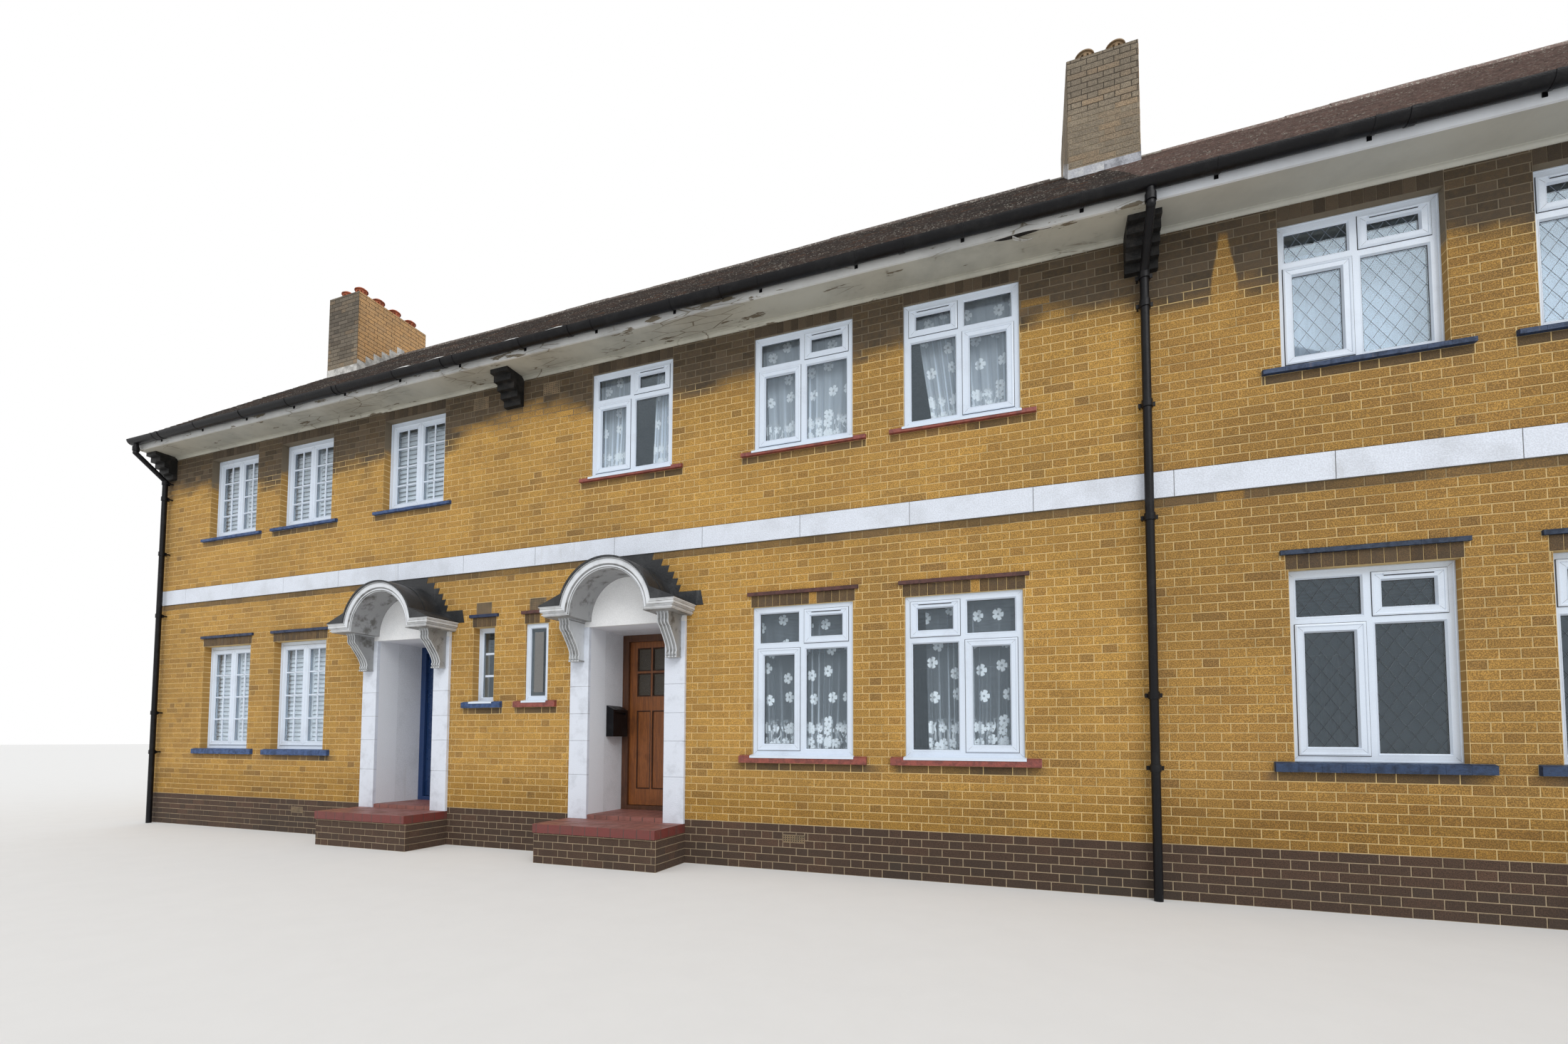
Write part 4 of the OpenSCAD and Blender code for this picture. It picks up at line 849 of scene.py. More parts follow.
def flemish(low, high, foot, head, brown=0.07):
    """Rows [u0, u1, v0, v1, tone, brown]: stretcher and header in turn, shifted on every second course."""
    period = STRETCHER + HEADER
    k = np.arange(math.floor(foot / COURSE + 0.02), math.ceil(head / COURSE - 0.02))
    m = np.arange(math.floor(low / period) - 1, math.ceil(high / period) + 1)
    k, m = np.meshgrid(k, m, indexing="ij")
    start = m * period + (k % 2) * period / 2
    rows = []
    for a, b, short in ((0.0, STRETCHER, 0.0), (STRETCHER, period, 1.0)):
        tone = np.clip(rng.beta(1.5, 3.0, k.size) + short * 0.12, 0, 1)
        dark = (rng.random(k.size) < brown) * rng.uniform(0.12, 0.42, k.size)
        rows.append(np.column_stack([(start + a).ravel(), (start + b).ravel(), (k * COURSE).ravel(),
                                     ((k + 1) * COURSE).ravel(), tone, dark]))
    rows = np.vstack(rows)
    rows[:, 0:2] = np.clip(rows[:, 0:2], low, high)
    rows[:, 2:4] = np.clip(rows[:, 2:4], foot, head)
    return rows[(rows[:, 1] - rows[:, 0] > LEAST) & (rows[:, 3] - rows[:, 2] > LEAST)]


def soldiers(low, high, foot, head, pale=None, width=0.0795):
    """Brown bricks on end over a window, in rows as flemish() gives them. pale: where one ochre one is."""
    count = max(1, round((high - low) / width))
    edge = np.linspace(low, high, count + 1)
    dark = rng.uniform(0.82, 1.0, count)
    if pale is not None:
        dark[int(count * pale)] = 0.0
    return np.column_stack([edge[:-1], edge[1:], np.full(count, foot), np.full(count, head),
                            rng.random(count) * 0.8, dark])


SILL_SIDE = 0.137
HEAD_SIDE, HEAD_TOP = 0.020, 0.118
CREASING_SIDE, CREASING_TOP = 0.057, 0.152


def openings(rows, flip):
    """Cut-outs of a wall: each window, its sill, its head course and the tile creasing over it. The head
    courses come once more by themselves, as (u0, u1, foot, head, whether it is a lintel)."""
    holes, heads = [], []
    for w in rows:
        x, half = w.x * flip, w.half
        holes.append((x - half, x + half, w.foot, w.head))
        holes.append((x - half - SILL_SIDE, x + half + SILL_SIDE, w.foot - w.sill, w.foot))
        if w.upper:
            heads.append((x - half, x + half, w.head, EAVES, False))
        else:
            heads.append((x - half - HEAD_SIDE, x + half + HEAD_SIDE, w.head, w.head + HEAD_TOP, True))
        holes.append(heads[-1][:4])
        if not w.upper:
            holes.append((x - half - CREASING_SIDE, x + half + CREASING_SIDE, w.head + HEAD_TOP,
                          w.head + CREASING_TOP))
    return holes, heads


VENTS = [(start + sign * x, z, tall) for _, start, sign, _ in HOUSES
         for x, z, tall in ((0.540, 5.410, 0.150), (0.407, 2.819, 0.150), (3.6185, 0.279, 0.075))]
front_gaps = [(x - 0.115, x + 0.115, z, z + tall) for x, z, tall in VENTS]
front_gaps += [(x - 0.735, x + 0.735, 0.0, 2.70) for x in PORCHES]
print(len(VENTS), "air bricks and", len(PORCHES), "porches are left free")

# %% [markdown]
# ## Where the soot lies
# Smoke and wet have blackened the wall under the eaves, where no rain washes it, down to a ragged line five
# to eight courses below. The course under the band is darker too, and the one under each sill is stained. The
# line is given by a few points along the front and noise makes it ragged. A stain doesn't stop at a brick's
# edge, so it is asked at every corner of every brick, and each brick takes a little more or less of it.

# %% Soot on the bricks
SOOT_LINE = np.array([
    (-10.3, 5.22), (-9.3, 5.24), (-8.2, 5.12), (-7.9, 4.96), (-7.5, 5.08), (-6.4, 5.12), (-6.0, 5.05),
    (-4.4, 5.10), (-4.12, 5.26), (-3.62, 5.32), (-2.86, 5.35), (-2.31, 5.22), (-1.19, 5.13), (-0.86, 5.17),
    (-0.25, 5.25), (0.85, 5.21), (1.29, 5.16), (2.42, 5.19), (2.66, 5.26), (2.94, 5.20), (3.36, 5.10),
    (3.92, 5.09), (4.10, 5.15), (4.38, 5.12), (5.48, 5.21), (5.96, 5.14), (7.6, 5.22), (9.2, 5.12),
    (10.3, 5.20)])
MOST_SOOT = 0.985


def soot_on(sills, seed, flip):
    """The soot of a wall as a function of places u, v and of a brick's own share, which gives 0 to 1: high
    over the soot line, middling under the band and under the sills, more under those of the right house."""
    def soot_at(u, v, own):
        ragged = (drift(u, v, 0.16, seed) - 0.5) * 0.22 + (drift(u, v, 0.6, seed + 1) - 0.5) * 0.12
        line = np.interp(u * flip, *SOOT_LINE.T)
        soot = np.clip((v + ragged - line) / 0.22 + 0.95 + own, 0, 1) * MOST_SOOT
        band = (v < BAND_FOOT) & (v > BAND_FOOT - COURSE)
        soot = np.maximum(soot, band * (0.50 + 0.38 * drift(u, v, 0.5, seed + 2)))
        for x, half, z in sills:
            near = (np.abs(u - x) < half + SILL_SIDE) & (v < z) & (v > z - COURSE)
            least = 0.72 if x * flip > PARTY[2] else 0.35
            soot = np.maximum(soot, near * (least + (0.97 - least) * drift(u, v, 0.35, seed + 3)))
        faint = np.clip(drift(u, v, 1.1, seed + 4) - 0.62, 0, 1) * 0.5
        return np.clip(np.maximum(soot, faint) + 0.3 * own, 0, MOST_SOOT)
    return soot_at


BRICK_POINTS = 12


def lay(name, material, parts):
    """One piece from several (side, rows, soot, options): bricks with their tone, brownness and soot. The
    soot is one number a brick, or a function that is asked at each corner of each brick."""
    made, values = [], []
    for side, rows, soot, options in parts:
        shape = blocks(side, rows, **options)
        made.append(shape)
        if callable(soot):
            flat = shape[0].reshape(-1, 3)
            own = np.repeat(rng.normal(0, 0.09, len(rows)), BRICK_POINTS)
            soot = soot(flat @ axes(side)[1], flat[:, 2], own)
        else:
            soot = np.repeat(soot, BRICK_POINTS)
        values.append(np.column_stack([np.repeat(rows[:, 4:6], BRICK_POINTS, axis=0), soot]))
    return piece(name, joined(*made), material, values={"brick": np.vstack(values)})


RUSTIC = dict(joint=0.0078, stand=0.0035, arris=0.0028, wobble=0.0012)
for (side, rows, flip), gaps, slots, seed in zip(
        WALLS, (front_gaps, []), (("front_wall_main", "front_wall_upper"), ("rear_wall",) * 2), (11, 31)):
    holes, heads = openings(rows, flip)
    sills = [(w.x * flip, w.half, w.foot - w.sill) for w in rows]
    lower = cut(flemish(-ROW_END, ROW_END, PLINTH_TOP, BAND_FOOT), holes + gaps)
    upper = cut(flemish(-ROW_END, ROW_END, BAND_TOP, EAVES), holes + gaps)
    for storey, bricks, slot, number in zip(("lower", "upper"), (lower, upper), slots, (seed, seed + 5)):
        parts = [(side, bricks, soot_on(sills, number, flip), RUSTIC)]
        lay(f"bricks_{side}_{storey}", ochre_brick, parts)
    parts = []
    for a, b, c, d, lintel in heads:
        one_pale = lintel and abs(a + b) / 2 < PARTY[2]
        bricks = soldiers(a, b, c, d, 0.62 if one_pale else None)
        level = np.where(bricks[:, 5] == 0, 0.0, rng.uniform(0.50, 0.72, len(bricks)))
        level = level if lintel else np.full(len(bricks), 0.94)
        parts.append((side, bricks, level, dict(RUSTIC, joint=0.0032)))
    lay(f"brick_heads_{side}", ochre_brick, parts)

# %% [markdown]
# ## End walls, plinth and stacks
# The ends of the row are plain party walls. Their bricks are laid as a full rectangle and held down under the
# slope of the roof, so the last bricks of each course are cut on the rake as a bricklayer would cut them.
# The plinth is six courses of brown brick, and the stacks have the same module in a browner mix. On the
# stacks the soot
# also paints light: their sides that face +x are orange and least sooty, as painted sunlight, and their
# fronts the sootiest, partly as painted shade.

# %% End walls
def under_slope(u):
    """Height of the underside of the roof over a distance u from the middle line."""
    return RIDGE_Z - UNDER_ROOF - math.tan(PITCH) * np.abs(u - RIDGE_Y)


def mirrored_slope(u):
    """The same for a side whose u runs towards the front."""
    return under_slope(-u)


parts = []
for side, low, high, slope in (("right", FRONT, REAR, under_slope), ("left", -REAR, -FRONT, mirrored_slope)):
    rows = flemish(low, high, PLINTH_TOP, RIDGE_Z - UNDER_ROOF)
    rows = rows[rows[:, 2] < slope(rows[:, :2].mean(1)) - 0.02]
    patches = drift(rows[:, :2].mean(1), rows[:, 2], 0.7, 51)
    level = np.clip((rows[:, 2:4].mean(1) - 5.6) / 2.2, 0, 1) * 0.5 * patches
    parts.append((side, rows, level, dict(RUSTIC, top=slope)))
lay("bricks_end_walls", ochre_brick, parts)

# %% Plinth and porch steps
PLINTH = dict(RUSTIC, stand=0.0045)
BROWN_SHARE = 0.25
parts = []
for side, low, high, gaps in (("front", -ROW_END, ROW_END, front_gaps), ("rear", -ROW_END, ROW_END, []),
                              ("right", FRONT, REAR, []), ("left", -REAR, -FRONT, [])):
    rows = cut(flemish(low, high, 0.0, PLINTH_TOP, BROWN_SHARE), gaps)
    level = 0.25 + 0.5 * drift(rows[:, 0], rows[:, 2], 0.4, 61) * (rows[:, 2] < 0.16)
    parts.append((side, rows, level, PLINTH))
for x in PORCHES:
    faces = [(((0, STEP_FRONT, 0), (1, 0, 0), (0, -1, 0)), x - STEP_HALF, x + STEP_HALF, 0.3)]
    for sign in (-1, 1):
        cheek = ((x + sign * STEP_HALF, 0, 0), (0, sign, 0), (sign, 0, 0))
        faces.append((cheek, *sorted((sign * STEP_FRONT, sign * FRONT)), 0.35))
    for side, low, high, level in faces:
        rows = flemish(low, high, 0.0, STEP_TOP, BROWN_SHARE)
        parts.append((side, rows, np.full(len(rows), level), PLINTH))
lay("bricks_plinth", brown_brick, parts)

# %% Stacks
FLASHED = RIDGE_Z - 0.05
parts = []
for x0, x1 in STACKS:
    on_right = x0 > 0
    front = (0, STACK_LOW, 0), (1, 0, 0), (0, -1, 0)
    rear = (0, STACK_HIGH, 0), (-1, 0, 0), (0, 1, 0)
    right = (x1, 0, 0), (0, 1, 0), (1, 0, 0)
    left = (x0, 0, 0), (0, -1, 0), (-1, 0, 0)
    # The soot share of each side is partly real soot and partly painted light: the front is made darkest, as
    # painted shade, the side that faces +x lightest, as painted sunlight.
    for side, low, high, foot, sooty in (
            (front, x0, x1, lambda u: FLASHED - math.tan(PITCH) * 0.92 + u * 0, 0.8),
            (rear, -x1, -x0, lambda u: FLASHED - math.tan(PITCH) * 0.57 + u * 0, 0.4),
            (right, STACK_LOW, STACK_HIGH, lambda u: under_slope(u) + 0.05, 0.15),
            (left, -STACK_HIGH, -STACK_LOW, lambda u: mirrored_slope(u) + 0.002, 0.3)):
        rows = flemish(low, high, 8.0, STACK_TOP, 0.3)
        rows = rows[rows[:, 3] > foot(rows[:, :2].mean(1)) + 0.02]
        dark_top = 0.22 * (rows[:, 2] > STACK_TOP - 0.55) * on_right
        share = sooty * (0.35 if on_right else 1.0)
        level = np.clip(dark_top + share * (0.4 + 0.9 * drift(rows[:, 0], rows[:, 2], 0.3, 71)), 0, 1)
        # Painted sunlight: on the side that faces +x each brick takes the orange colour nearly in full and a
        # third of the soot.
        if side[1][1] > 0:
            rows[:, 5] = rng.uniform(0.80, 1.0, len(rows))
            level *= 0.35
        elif on_right:
            rows[:, 5] *= 0.6
        parts.append((side, rows, level, dict(RUSTIC, stand=0.004, foot=foot)))
lay("bricks_stacks", stack_brick, parts)

# %% [markdown]
# ## Plain tiles
# The roof is laid with small plain clay tiles, each lying on the two below, so that its tail stands up by its
# own thickness. The slope is a plane with u along the eaves and v up the slope. Every tile is a flat wedge on
# that plane, a little crooked, and the whole slope is one array. The attribute "brick" gives each tile its
# tone, a number that picks out the rare red ones, and its share of lichen.

# %% Roof tile finish
roof_tile, tree, shader, where = start_material("plain_clay_tile")
own = parts_of(add(tree, "Attribute", attribute_name="brick").outputs["Vector"])
tone = blend(own["X"], (0.120, 0.090, 0.078), (0.064, 0.056, 0.053))
tone = blend(ramp(own["Y"], 0.9, 0.95), tone, (0.160, 0.090, 0.062))
tone = blend(times(use(whose, where)["Right"], 0.58), tone, (0.330, 0.225, 0.195))
tone = blend(times(mottled(where, 16.0, 0.35, 0.7), 0.5), tone, (0.045, 0.040, 0.036))
lichen = larger(use(speckle, where, Scale=26.0, Size=0.30)[0], mottled(where, 34.0, 0.56, 0.64))
tone = blend(times(lichen, ramp(own["Z"], 0.0, 1.0, 0.35, 1.0)), tone, (0.42, 0.40, 0.35))
surface(shader, tone, 0.9, mottled(where, 60.0, 0.3, 0.7), 0.0025)

# %% Roof tiles
TILE_W = 0.165
GAUGE = 0.100
TILE_THICK = 0.013
SLOPE = (RIDGE_Y - FRONT + TILE_EDGE) / math.cos(PITCH)


def tile_slope(name, ahead, seed):
    """Tiles on one slope, each over u along the eaves and v up the slope. Its corners are its tail and its
    head, each with an under and an upper side: y = edge + v cos - lift sin, z = foot + v sin + lift cos."""
    k, m = np.arange(math.ceil(SLOPE / GAUGE)), np.arange(-1, math.ceil(2 * ROW_END / TILE_W) + 1)
    k, m = np.meshgrid(k, m, indexing="ij")
    u0 = -ROW_END + m * TILE_W + (k % 2) * TILE_W / 2
    rows = np.column_stack([u0.ravel(), u0.ravel() + TILE_W, (k * GAUGE).ravel(), ((k + 1) * GAUGE).ravel()])
    rows[:, :2] = np.clip(rows[:, :2], -ROW_END, ROW_END)
    rows[:, 3] = np.minimum(rows[:, 3], SLOPE)
    rows = rows[rows[:, 1] - rows[:, 0] > 0.02]
    edge = FRONT - TILE_EDGE
    reach = ((STACK_LOW if ahead < 0 else 2 * RIDGE_Y - STACK_HIGH) - edge) / math.cos(PITCH)
    rows = cut(rows, [(x0, x1, reach, SLOPE + 1) for x0, x1 in STACKS], 0.02)
    n = len(rows)
    at = rows[:, 0], rows[:, 2]
    jog = rng.normal(0, 1, (n, 5))
    sag = (drift(*at, 1.9, seed) - 0.5) * 0.024
    u = np.stack([rows[:, 0] + 0.0014, rows[:, 1] - 0.0014], 1) + jog[:, :1] * 0.0012
    tail = rows[:, 2] + jog[:, 1] * 0.003 - 0.004, 0.027 + jog[:, 2] * 0.0016 + sag
    head = rows[:, 3] + 0.012, 0.010 + sag
    tilt = jog[:, 3] * 0.0012
    corners = []
    for low_side in (True, False):
        for v, up in (tail, head):
            for side in (0, 1):
                lift = up + (tilt if side else -tilt) - (TILE_THICK if low_side else 0.0)
                y = edge + v * math.cos(PITCH) - lift * math.sin(PITCH)
                z = TILE_FOOT + v * math.sin(PITCH) + lift * math.cos(PITCH)
                corners.append(np.stack([u[:, side], y if ahead < 0 else 2 * RIDGE_Y - y, z], -1))
    pattern = [[0, 2, 3, 1], [4, 5, 7, 6], [0, 1, 5, 4], [2, 6, 7, 3], [0, 4, 6, 2], [1, 3, 7, 5]]
    if ahead > 0:
        pattern = [f[::-1] for f in pattern]
    tone = np.clip(rng.beta(2, 2, n) + (drift(*at, 0.9, seed + 2) - 0.5) * 0.5, 0, 1)
    lichen = np.clip(drift(*at, 0.5, seed + 3) * 1.5 - 0.55, 0, 1)
    values = np.repeat(np.column_stack([tone, rng.random(n), lichen]), 8, axis=0)
    piece(name, (np.stack(corners, 1), many(pattern, n, 8)), roof_tile, values={"brick": values})


tile_slope("tiles_front", -1, 81)
tile_slope("tiles_rear", 1, 91)

# %% [markdown]
# ## Ridge tiles
# The ridge is covered by half-round tiles bedded in mortar, butted end to end. Each is a short half pipe:
# an arc at an outer and an inner radius, at two places along the ridge, with all edges closed.

# %% Half pipes
ARC_STEPS = 12


def half_pipes(low, high, y, z, outer, inner, first, last):
    """Half pipes along x: angle runs from first to last, radius is outer or inner, x is low or high."""
    count = len(low)
    angle = np.radians(np.linspace(first, last, ARC_STEPS + 1))
    z = np.broadcast_to(np.asarray(z, float), count)[:, None]
    loops = []
    for x in (low, high):
        for radius, way in ((outer, 1), (inner, -1)):
            a = angle[::way]
            r = np.broadcast_to(np.asarray(radius, float), count)[:, None]
            xs = np.broadcast_to(np.asarray(x, float)[:, None], (count, ARC_STEPS + 1))
            loops.append(np.stack([xs, y + r * np.cos(a), z + r * np.sin(a)], -1))
    ring = 2 * (ARC_STEPS + 1)
    points = np.stack([np.concatenate(loops[:2], 1), np.concatenate(loops[2:], 1)], 1)
    caps = []
    for i in range(ARC_STEPS):
        j = ring - 1 - i
        caps.append([j, j - 1, i + 1, i])
        caps.append([ring + i, ring + i + 1, ring + j - 1, ring + j])
    return points, many(rings(2, ring) + caps, count, 2 * ring)


edges = np.arange(-ROW_END, ROW_END + 0.2, 0.452)
edges[-1] = ROW_END
low, high = edges[:-1] + 0.003, edges[1:] - 0.003
clear = np.all([(high < x0) | (low > x1) for x0, x1 in STACKS], axis=0)
low, high = low[clear], high[clear]
own = np.column_stack([rng.random(len(low)) * 0.6, rng.random(len(low)), np.full(len(low), 0.8)])
own = np.repeat(own, 4 * (ARC_STEPS + 1), axis=0)
level = RIDGE_Z - 0.111 + (drift(low, low * 0, 1.6, 17) - 0.5) * 0.022
shape = half_pipes(low, high, RIDGE_Y, level, 0.137 + rng.uniform(0, 0.006, len(low)), 0.112, 1, 179)
piece("ridge_caps", shape, roof_tile, values={"brick": own})

# %% [markdown]
# ## Blocks of the band and the pilasters
# The white band and the pilasters are cast blocks with fine open joints. The same helper that lays bricks
# lays these, with long cells, a tight joint and a face that just covers the frame's.

# %% White blocks
edges = np.concatenate([[-ROW_END], np.arange(-ROW_END + 0.62, ROW_END - 0.3, 1.107), [ROW_END]])
cells = [(a, b, BAND_FOOT, BAND_TOP) for a, b in zip(edges[:-1], edges[1:])]
band = [blocks(side, cells, 0.0045, 0.0150, 0.0020, wobble=0.0003) for side, _, _ in WALLS]
piece("band_blocks", joined(*band), white_paint)

levels = [0.410, 0.901, 1.283, 1.587, 1.896, 2.571]
cells = [(x + a, x + b, z0, z1) for x in PORCHES for a, b in ((-0.7395, -0.491), (0.491, 0.7395))
         for z0, z1 in zip(levels[:-1], levels[1:])]
shape = blocks("front", cells, 0.0015, 0.0375, 0.0018, wobble=0.0002)
piece("pilaster_blocks", shape, pilaster_paint)

# %% [markdown]
# ## Sills and creasings of clay tiles
# Sills and the creasings over the windows are rows of clay tiles, painted red, blue or dark blue with the
# house. Each tile is a short prism with the sill's section, a millimetre proud of the frame's node.

# %% Sill and creasing tiles
def tiled(w, beyond, section, y_sign, length):
    """Prisms side by side along a window and some way beyond it, as many as fit the tile's length, with
    2.6 mm between them."""
    x0, x1 = w.x - w.half - beyond, w.x + w.half + beyond
    count = max(1, round((x1 - x0) / length))
    edge = np.linspace(x0, x1, count + 1)
    section = np.array(section if y_sign < 0 else section[::-1], float)
    sections = np.broadcast_to(section, (count, *section.shape)).copy()
    sections[..., 1] += rng.normal(0, 0.0005, (count, 1))
    return extruded(sections, edge[:-1] + 0.0013, edge[1:] - 0.0013)


parts, creasings = [], []
for face, sign, rows in ((FRONT, -1, windows), (REAR, 1, rear_windows)):
    inner = face - sign * 0.018
    for w in rows:
        z0, z1 = w.foot - w.sill - 0.001, w.foot + 0.0015
        outer = face + sign * 0.0415
        profile = [(outer, z0), (outer, w.foot - 0.0105), (face, z1), (inner, z1), (inner, z0)]
        parts.append(tiled(w, SILL_SIDE, profile, sign, 0.152))
        if not w.upper:
            z = w.head + HEAD_TOP
            outer = face + sign * 0.0262
            profile = [(outer, z - 0.001), (outer, z + 0.035), (inner, z + 0.035), (inner, z - 0.001)]
            creasings.append(tiled(w, CREASING_SIDE, profile, sign, 0.265))
piece("sill_tiles", joined(*parts), red_tile)
piece("creasing_tiles", joined(*creasings), creasing_tile)

# %% [markdown]
# ## Window beads, seams, bars and cames
# Plastic windows show their make in small steps: a lip round the sash, a sloping bead against the glass and
# a dark gasket. Round each sash a thin dark ring fills the gap to the frame: partly its seal, partly painted
# shadow of that gap. All are mitred rings, so one section is carried round many rectangles at once. In each
# corner a fine grey seam shows where two bars are welded. The left house has glazing bars on its glass, the
# right one diamond lead.

# %% Beads, gaskets and seams
def light_rows(rows, sash, flip):
    """Rectangles of the lights with or without a sash, and how far their frame lies back."""
    cells = [(*sorted((x0 * flip, x1 * flip)), z0, z1, -w.reveal)
             for w in rows for x0, x1, z0, z1, has in w.lights if has == sash]
    return np.array(cells)[:, :4], np.array(cells)[:, 4]


def mitres(side, cells, back, near, far, face, wide=0.0018):
    """The seams where two bars meet: in each corner of a rectangle a strip of quads from corner + near way to
    corner + far way, way = (+-1, +-1), laid 0.4 mm proud of the face."""
    strips = []
    for column, row in ((0, 2), (1, 2), (1, 3), (0, 3)):
        way = np.array([1 - 2 * column, 5 - 2 * row], float)
        aside = np.array([-way[1], way[0]]) * wide / math.sqrt(8)
        outline = [near * way - aside, far * way - aside, far * way + aside, near * way + aside]
        strips.append(cells[:, [column, row]][:, None, :] + np.array(outline)[None])
    out = np.tile(back, 4)[:, None] + face
    return slabs(side, np.vstack(strips), (out - 0.0005, out + 0.0004))


beads, gaskets_and_gap_shadows, lips, seams = [], [], [], []
for side, rows, flip in WALLS:
    for sash, bar, face in ((True, SASH_BAR, 0.006), (False, 0.0, 0.0)):
        cells, back = light_rows(rows, sash, flip)
        inner = cells + np.array([bar, -bar, bar, -bar])
        beads.append(framed(side, inner, [(-0.003, -0.022), (-0.003, face + 0.0015), (0.002, face + 0.0015),
                                          (0.013, -0.014), (0.013, -0.022)], back))
        gaskets_and_gap_shadows.append(framed(side, inner, [(0.010, -0.021), (0.010, -0.0165), (0.0155, -0.0175),
                                            (0.0155, -0.021)], back))
        if sash:
            seams.append(mitres(side, cells, back, 0.0145, 0.0445, face))
            # A dark ring in the gap round each sash: partly its seal, partly painted shadow of the gap.
            gaskets_and_gap_shadows.append(framed(side, cells, [(-0.0115, -0.001), (-0.0115, 0.0016), (-0.0068, 0.0016),
                                                (-0.0068, -0.001)], back))
            lips.append(framed(side, cells, [(-0.007, -0.001), (-0.007, 0.0085), (0.004, 0.0115),
                                             (0.011, 0.0105), (0.014, 0.0055), (0.014, -0.001)], back))
    outer = [(*sorted(((w.x - w.half) * flip, (w.x + w.half) * flip)), w.foot, w.head) for w in rows]
    outer = np.array(outer)
    back = np.array([-w.reveal for w in rows])
    lips.append(framed(side, outer, [(0.001, -0.001), (0.001, 0.0045), (0.010, 0.0060), (0.014, 0.0020),
                                     (0.014, -0.001)], back))
    seams.append(mitres(side, outer, back, 0.0145, 0.0440, 0.0))
piece("window_beads", joined(*beads, *lips), plastic_white)
piece("window_gaskets_and_gap_shadows", joined(*gaskets_and_gap_shadows), black_rubber_and_painted_shade)
piece("mitre_seams", joined(*seams), seam_grey)

# %% Glazing bars of the left house
PUTTY = 0.004
cells = []
for w in windows:
    if w.house != "left":
        continue
    half, panes = (0.014, 3) if w.kind == "narrow" else (0.011, 4)
    for x0, x1, z0, z1, _ in w.lights:
        a, b = x0 + SASH_BAR, x1 - SASH_BAR
        c, d = (z0, z1) if w.kind == "narrow" else (z0 + SASH_BAR, z1 - SASH_BAR)
        base = -w.reveal - GLASS_BACK
        m = (a + b) / 2
        if w.kind == "pair":
            cells.append((m - half, m + half, c - PUTTY, d + PUTTY, base))
        for i in range(1, panes):
            z = c + (d - c) * i / panes
            cells.append((a - PUTTY, b + PUTTY, z - half, z + half, base))
cells = np.array(cells)
shape = blocks("front", cells[:, :4], 0.0, 0.014, 0.006, base=cells[:, 4])
piece("glazing_bars_left", shape, plastic_white)

# %% Obscured pane of the middle house's narrow window
w = next(w for w in windows if w.house == "middle" and w.kind == "narrow")
x0, x1, z0, z1, _ = w.lights[0]
rim = SASH_BAR + 0.006
pane = [(x0 + rim, x1 - rim, z0 + rim, z1 - rim)]
shape = blocks("front", pane, 0.0, 0.0016, 0.0006, -w.reveal - GLASS_BACK)
piece("obscured_pane_middle", shape, obscured)


# %% Diamond lead of the right house
def diamonds(x0, x1, z0, z1, wide=0.100, tall=0.148, strip=0.0028):
    """Strips of two families of slanting lines, clipped to the pane: z = +-(tall / wide)(x - c) + middle."""
    slope = tall / wide
    mid_z = (z0 + z1) / 2
    reach = (z1 - z0) / 2 / slope
    c = np.arange(x0 - reach, x1 + reach, wide) + 0.011
    quads = []
    for way in (1, -1):
        a = np.clip(c - reach, x0, x1)
        b = np.clip(c + reach, x0, x1)
        keep = b - a > 0.006
        a, b, mid = a[keep], b[keep], c[keep]
        za, zb = mid_z + way * slope * (a - mid), mid_z + way * slope * (b - mid)
        size = math.hypot(slope, 1.0)
        dx, dz = -way * slope / size * strip / 2, 1.0 / size * strip / 2
        quads.append(np.stack([np.stack([a - dx, za - dz], -1), np.stack([b - dx, zb - dz], -1),
                               np.stack([b + dx, zb + dz], -1), np.stack([a + dx, za + dz], -1)], 1))
    return np.vstack(quads)


came_lead, tree, shader, where = start_material("came_lead")
worn = mottled(where, 20.0, 0.4, 0.7)
# Upstairs the lead turns a paler blue: painted reflection of the sky in the upper panes.
upstairs = ramp(parts_of(where)["Z"], 3.0, 4.0)
tone = blend(upstairs, blend(worn, (0.045, 0.055, 0.065), (0.08, 0.095, 0.11)), (0.15, 0.185, 0.24))
surface(shader, tone, 0.5, worn, 0.0003)

strips, back = [], []
for w in windows:
    for x0, x1, z0, z1, has in w.lights if w.house == "right" else []:
        bar = SASH_BAR if has else 0.0
        quads = diamonds(x0 + bar + 0.013, x1 - bar - 0.013, z0 + bar + 0.013, z1 - bar - 0.013)
        strips.append(quads)
        back.append(np.full(len(quads), -w.reveal - GLASS_BACK))
back = np.concatenate(back)[:, None]
shape = slabs("front", np.vstack(strips), (back, back + 0.0014))
piece("diamond_cames_right", shape, came_lead)

# %% [markdown]
# ## Net curtains and blinds
# A net curtain is a thin cloth cut wider than its window and pushed together on a rod, so it hangs in folds.
# Its shape could be simulated, but a hung net hardly moves from plain folds, so here it is a surface: a wave
# across the cloth that deepens downwards. The lace is woven in, so its flowers follow the cloth's own flat
# coordinates, kept in the attribute "cloth", and they bend with the folds. Where the cloth runs away from the
# eye more of it lies behind each other: the third number of the attribute is that crowding.

